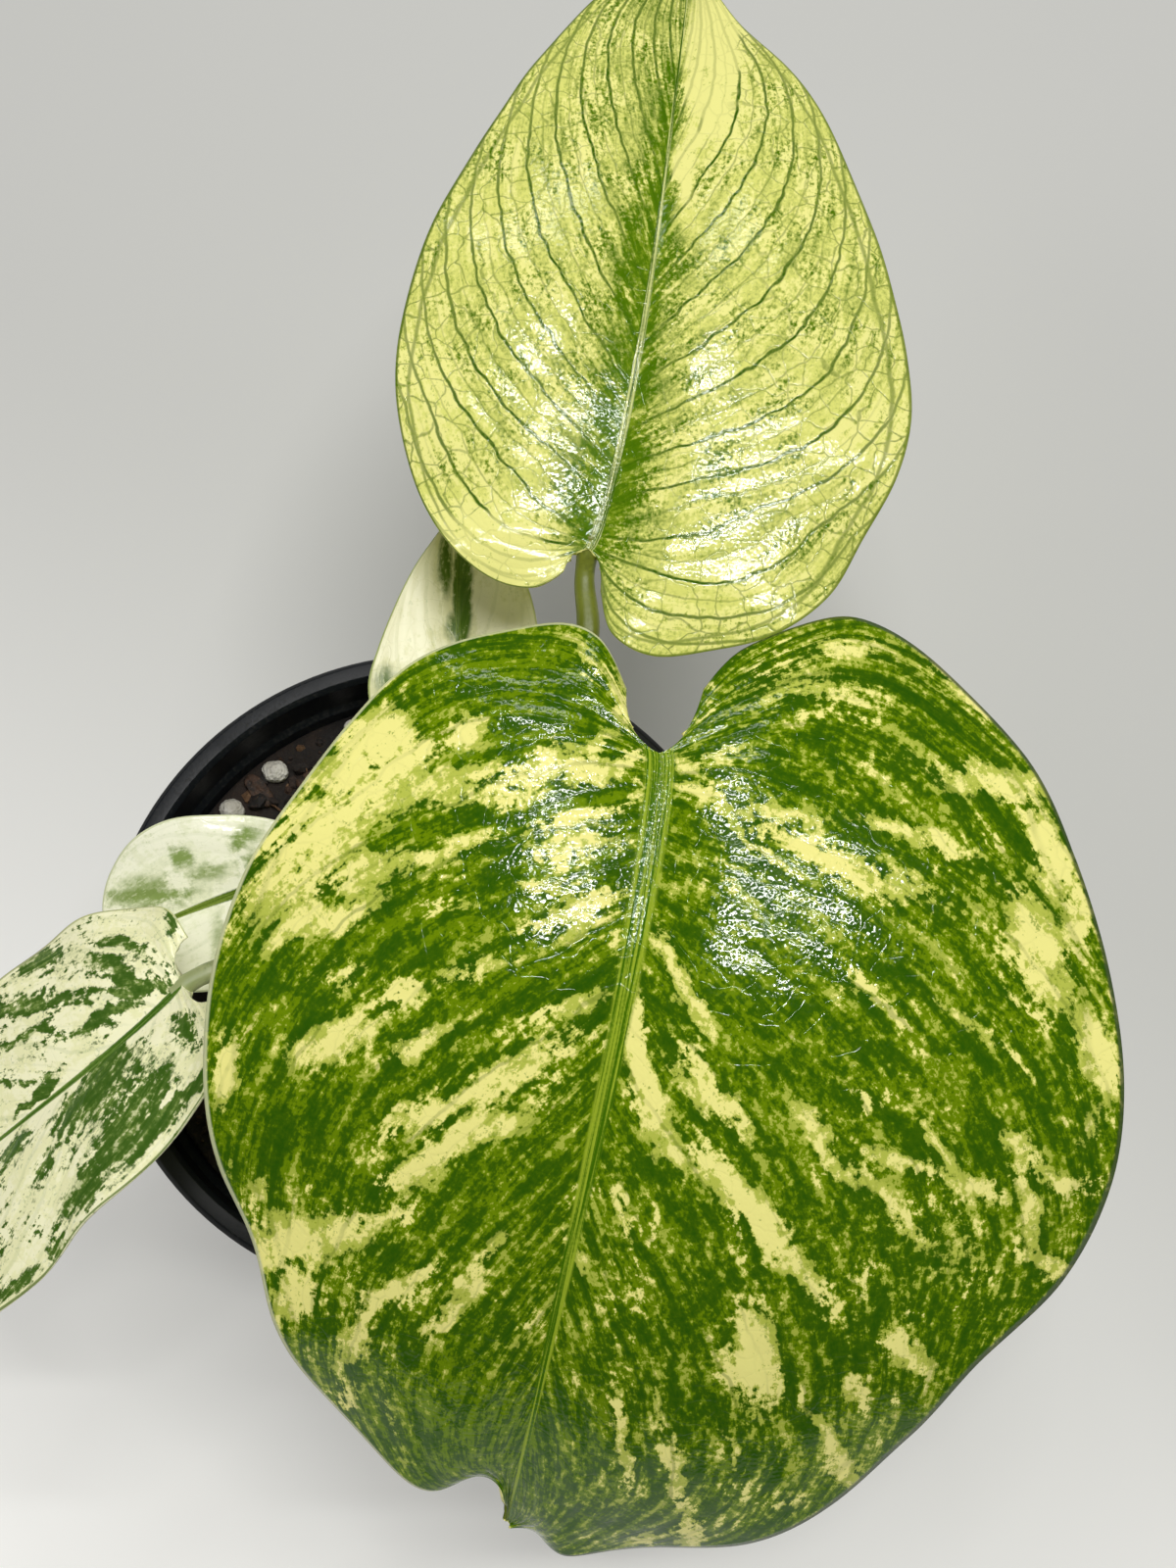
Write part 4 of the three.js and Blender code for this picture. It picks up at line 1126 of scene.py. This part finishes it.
def crumb_finish():
    finish = Finish("mix_crumb_grain")
    place = finish.place()
    tone = finish.attribute("tone")
    grain = finish.noise(place, 1100.0, 3.0, 0.6)
    colour = finish.mix(finish.step(tone, 0.2, 0.8), paint(14, 9, 6), paint(50, 31, 19))
    colour = finish.mix(finish.step(tone, 0.9, 0.99), colour, paint(98, 72, 48))
    colour = finish.mix(finish.step(grain, 0.5, 0.7) * 0.4, colour, paint(64, 45, 30))
    return finish.surface(colour, 0.8, finish.bump(grain * 0.3))


def make_perlite():
    finish = perlite_finish()
    for number, radius in enumerate(GRAIN_RADII, 1):
        low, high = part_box(f"perlite_{number}")
        centre = (Vector(low) + Vector(high)) / 2
        bm = bmesh.new()
        place = Matrix.Translation(centre) @ Matrix.Diagonal((*GRAIN_STRETCH, 1))
        bmesh.ops.create_icosphere(bm, subdivisions=4, radius=radius * MM * 0.97, matrix=place)
        for vert in bm.verts:
            run = (vert.co - centre) / (radius * MM)
            seed = run * 1.4 + Vector((number * 7.3, 0, 0))
            bumps = 0.16 * noise.noise(seed) + 0.05 * noise.noise(seed * 4)
            vert.co += (vert.co - centre) * clamp(bumps, -0.16, 0.05)
        piece = new_piece(f"perlite_grain_{number}", bm)
        piece.data.materials.append(finish)
        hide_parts(f"perlite_{number}")
        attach(piece, "root")


def make_perlite_dust():
    draw = random.Random(37)
    bm = bmesh.new()
    for _ in range(PERLITE_DUST):
        size = draw.uniform(0.25, 0.7)
        place = scatter_place(draw, CRUMB_REACH - 1)
        place.z += size * 0.6
        stretch = Matrix.Diagonal((1, draw.uniform(0.7, 1), draw.uniform(0.6, 0.9), 1))
        matrix = Matrix.Translation(place * MM) @ any_turn(draw) @ stretch
        bmesh.ops.create_icosphere(bm, subdivisions=1, radius=size * MM, matrix=matrix)
    piece = new_piece("perlite_dust", bm, smooth=False)
    piece.data.materials.append(perlite_finish())
    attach(piece, "root")


def perlite_finish():
    finish = Finish("perlite_white_with_painted_shade")
    place = finish.place()
    pits = finish.cells(place, 1500.0)
    cloud = finish.noise(place, 260.0, 3.0)
    # Grey rather than white: partly the grains' own tone and partly painted shade from the leaves over the pot
    colour = finish.mix(finish.step(cloud, 0.35, 0.65), paint(170, 166, 154), paint(198, 195, 186))
    colour = finish.mix(finish.step(pits, 0.3, 0.1) * 0.5, colour, paint(146, 136, 116))
    return finish.surface(colour, 0.8, finish.bump(pits * 0.25 + cloud * 0.2))


def make_bark():
    finish = bark_finish()
    for number, (length, width, turn) in enumerate(CHIPS, 1):
        low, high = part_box(f"bark_{number}")
        centre = (Vector(low) + Vector(high)) / 2
        bm = bmesh.new()
        bmesh.ops.create_cube(bm, size=1)
        bmesh.ops.subdivide_edges(bm, edges=bm.edges, cuts=11, use_grid_fill=True)
        turned = Matrix.Rotation(math.radians(turn), 3, "Z")
        for vert in bm.verts:
            end = abs(vert.co.x) * 2
            corner = 1 - 0.09 * (abs(2 * vert.co.y) ** 4 + abs(2 * vert.co.x) ** 4)
            x = vert.co.x * length * (1 - 0.08 * abs(2 * vert.co.y) ** 2)
            y = vert.co.y * width * blend(1, CHIP_TAPER, end * end)
            z = vert.co.z * CHIP_THICKNESS * corner + CHIP_ARCH * (math.cos(end * math.pi / 2) - 0.5)
            seed = Vector((x * 0.35, y * 1.6, z * 1.6 + number * 9.1))
            flakes = noise.noise(seed) * 0.22 + noise.noise(seed * 3) * 0.1
            outward = Vector((0, vert.co.y, vert.co.z)) * 2
            vert.co = centre + turned @ (Vector((x, y, z)) + outward * (flakes - 0.12)) * MM
        piece = new_piece(f"bark_chip_{number}", bm)
        piece.data.materials.append(finish)
        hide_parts(f"bark_{number}")
        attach(piece, "root")


def bark_finish():
    finish = Finish("bark_brown")
    place = finish.place()
    layers = finish.noise(place, 420.0, 4.0, 0.6, 1.5)
    grain = finish.noise(place, 1600.0, 3.0)
    colour = finish.mix(finish.step(layers, 0.38, 0.62), paint(30, 20, 13), paint(62, 41, 27))
    colour = finish.mix(finish.step(grain, 0.6, 0.7) * 0.4, colour, paint(94, 70, 48))
    return finish.surface(colour, 0.72, finish.bump(layers * 0.5 + grain * 0.2))


# Floor and light


def make_stage():
    bm = bmesh.new()
    bmesh.ops.create_grid(bm, x_segments=1, y_segments=1, size=4)
    floor = new_piece("floor", bm)
    finish = Finish("pale_table")
    place = finish.place()
    x, y, _ = finish.split(place)
    grain = finish.noise(place, 6.0, 2.0)
    colour = finish.mix(grain, paint(198, 198, 195), paint(202, 202, 199))
    # Painted light: the floor glows faintly at the back and strongly towards the front and left, to fill in the
    # plant's shadow
    near = finish.step(x * 0.5 + y, 0.12, -0.16)
    painted_fill_light = finish.mix(near, (0.045, 0.046, 0.046, 1.0), (0.43, 0.425, 0.412, 1.0))
    floor.data.materials.append(finish.surface(colour, 0.6, **{"Emission Color": painted_fill_light, "Emission Strength": 1.0}))
    world = bpy.data.worlds.new("studio")
    world.use_nodes = True
    world.node_tree.nodes["Background"].inputs["Color"].default_value = (1.0, 1.0, 0.98, 1.0)
    world.node_tree.nodes["Background"].inputs["Strength"].default_value = 0.08
    bpy.context.scene.world = world
    bpy.context.scene.view_settings.view_transform = "Standard"


# Lamps: x, y and z in millimetres, length, width, turn about Y in degrees, power in watts. Four are thin strips
# on the ceiling, so that the glints on the leaves are small and sharp, and the last is a soft box to the left
LAMPS = [
    (190, 30, 1500, 640, 50, 0, 7.4),
    (265, 330, 1500, 700, 45, 0, 6.0),
    (-60, 620, 1500, 360, 40, 0, 3.4),
    (0, 1250, 1500, 640, 160, 0, 2.8),
    (-1000, -150, 1300, 500, 500, -38, 2.5),
]


def make_lights():
    for number, (x, y, z, length, width, turn, power) in enumerate(LAMPS):
        data = bpy.data.lights.new(f"lamp_{number}", "AREA")
        data.shape = "RECTANGLE"
        data.size = length * MM
        data.size_y = width * MM
        data.energy = power
        data.color = (1.0, 0.995, 0.975)
        lamp = bpy.data.objects.new(f"lamp_{number}", data)
        lamp.location = mm(x, y, z)
        lamp.rotation_euler.y = math.radians(turn)
        lamp.visible_glossy = turn == 0
        bpy.context.scene.collection.objects.link(lamp)


make_camera()
make_stage()
make_lights()
make_pot()
make_soil()
make_crumbs()
make_fibres()
make_perlite()
make_perlite_dust()
make_bark()
make_stem()
for leaf in LEAVES:
    make_stalk(leaf)
    make_blade(leaf)
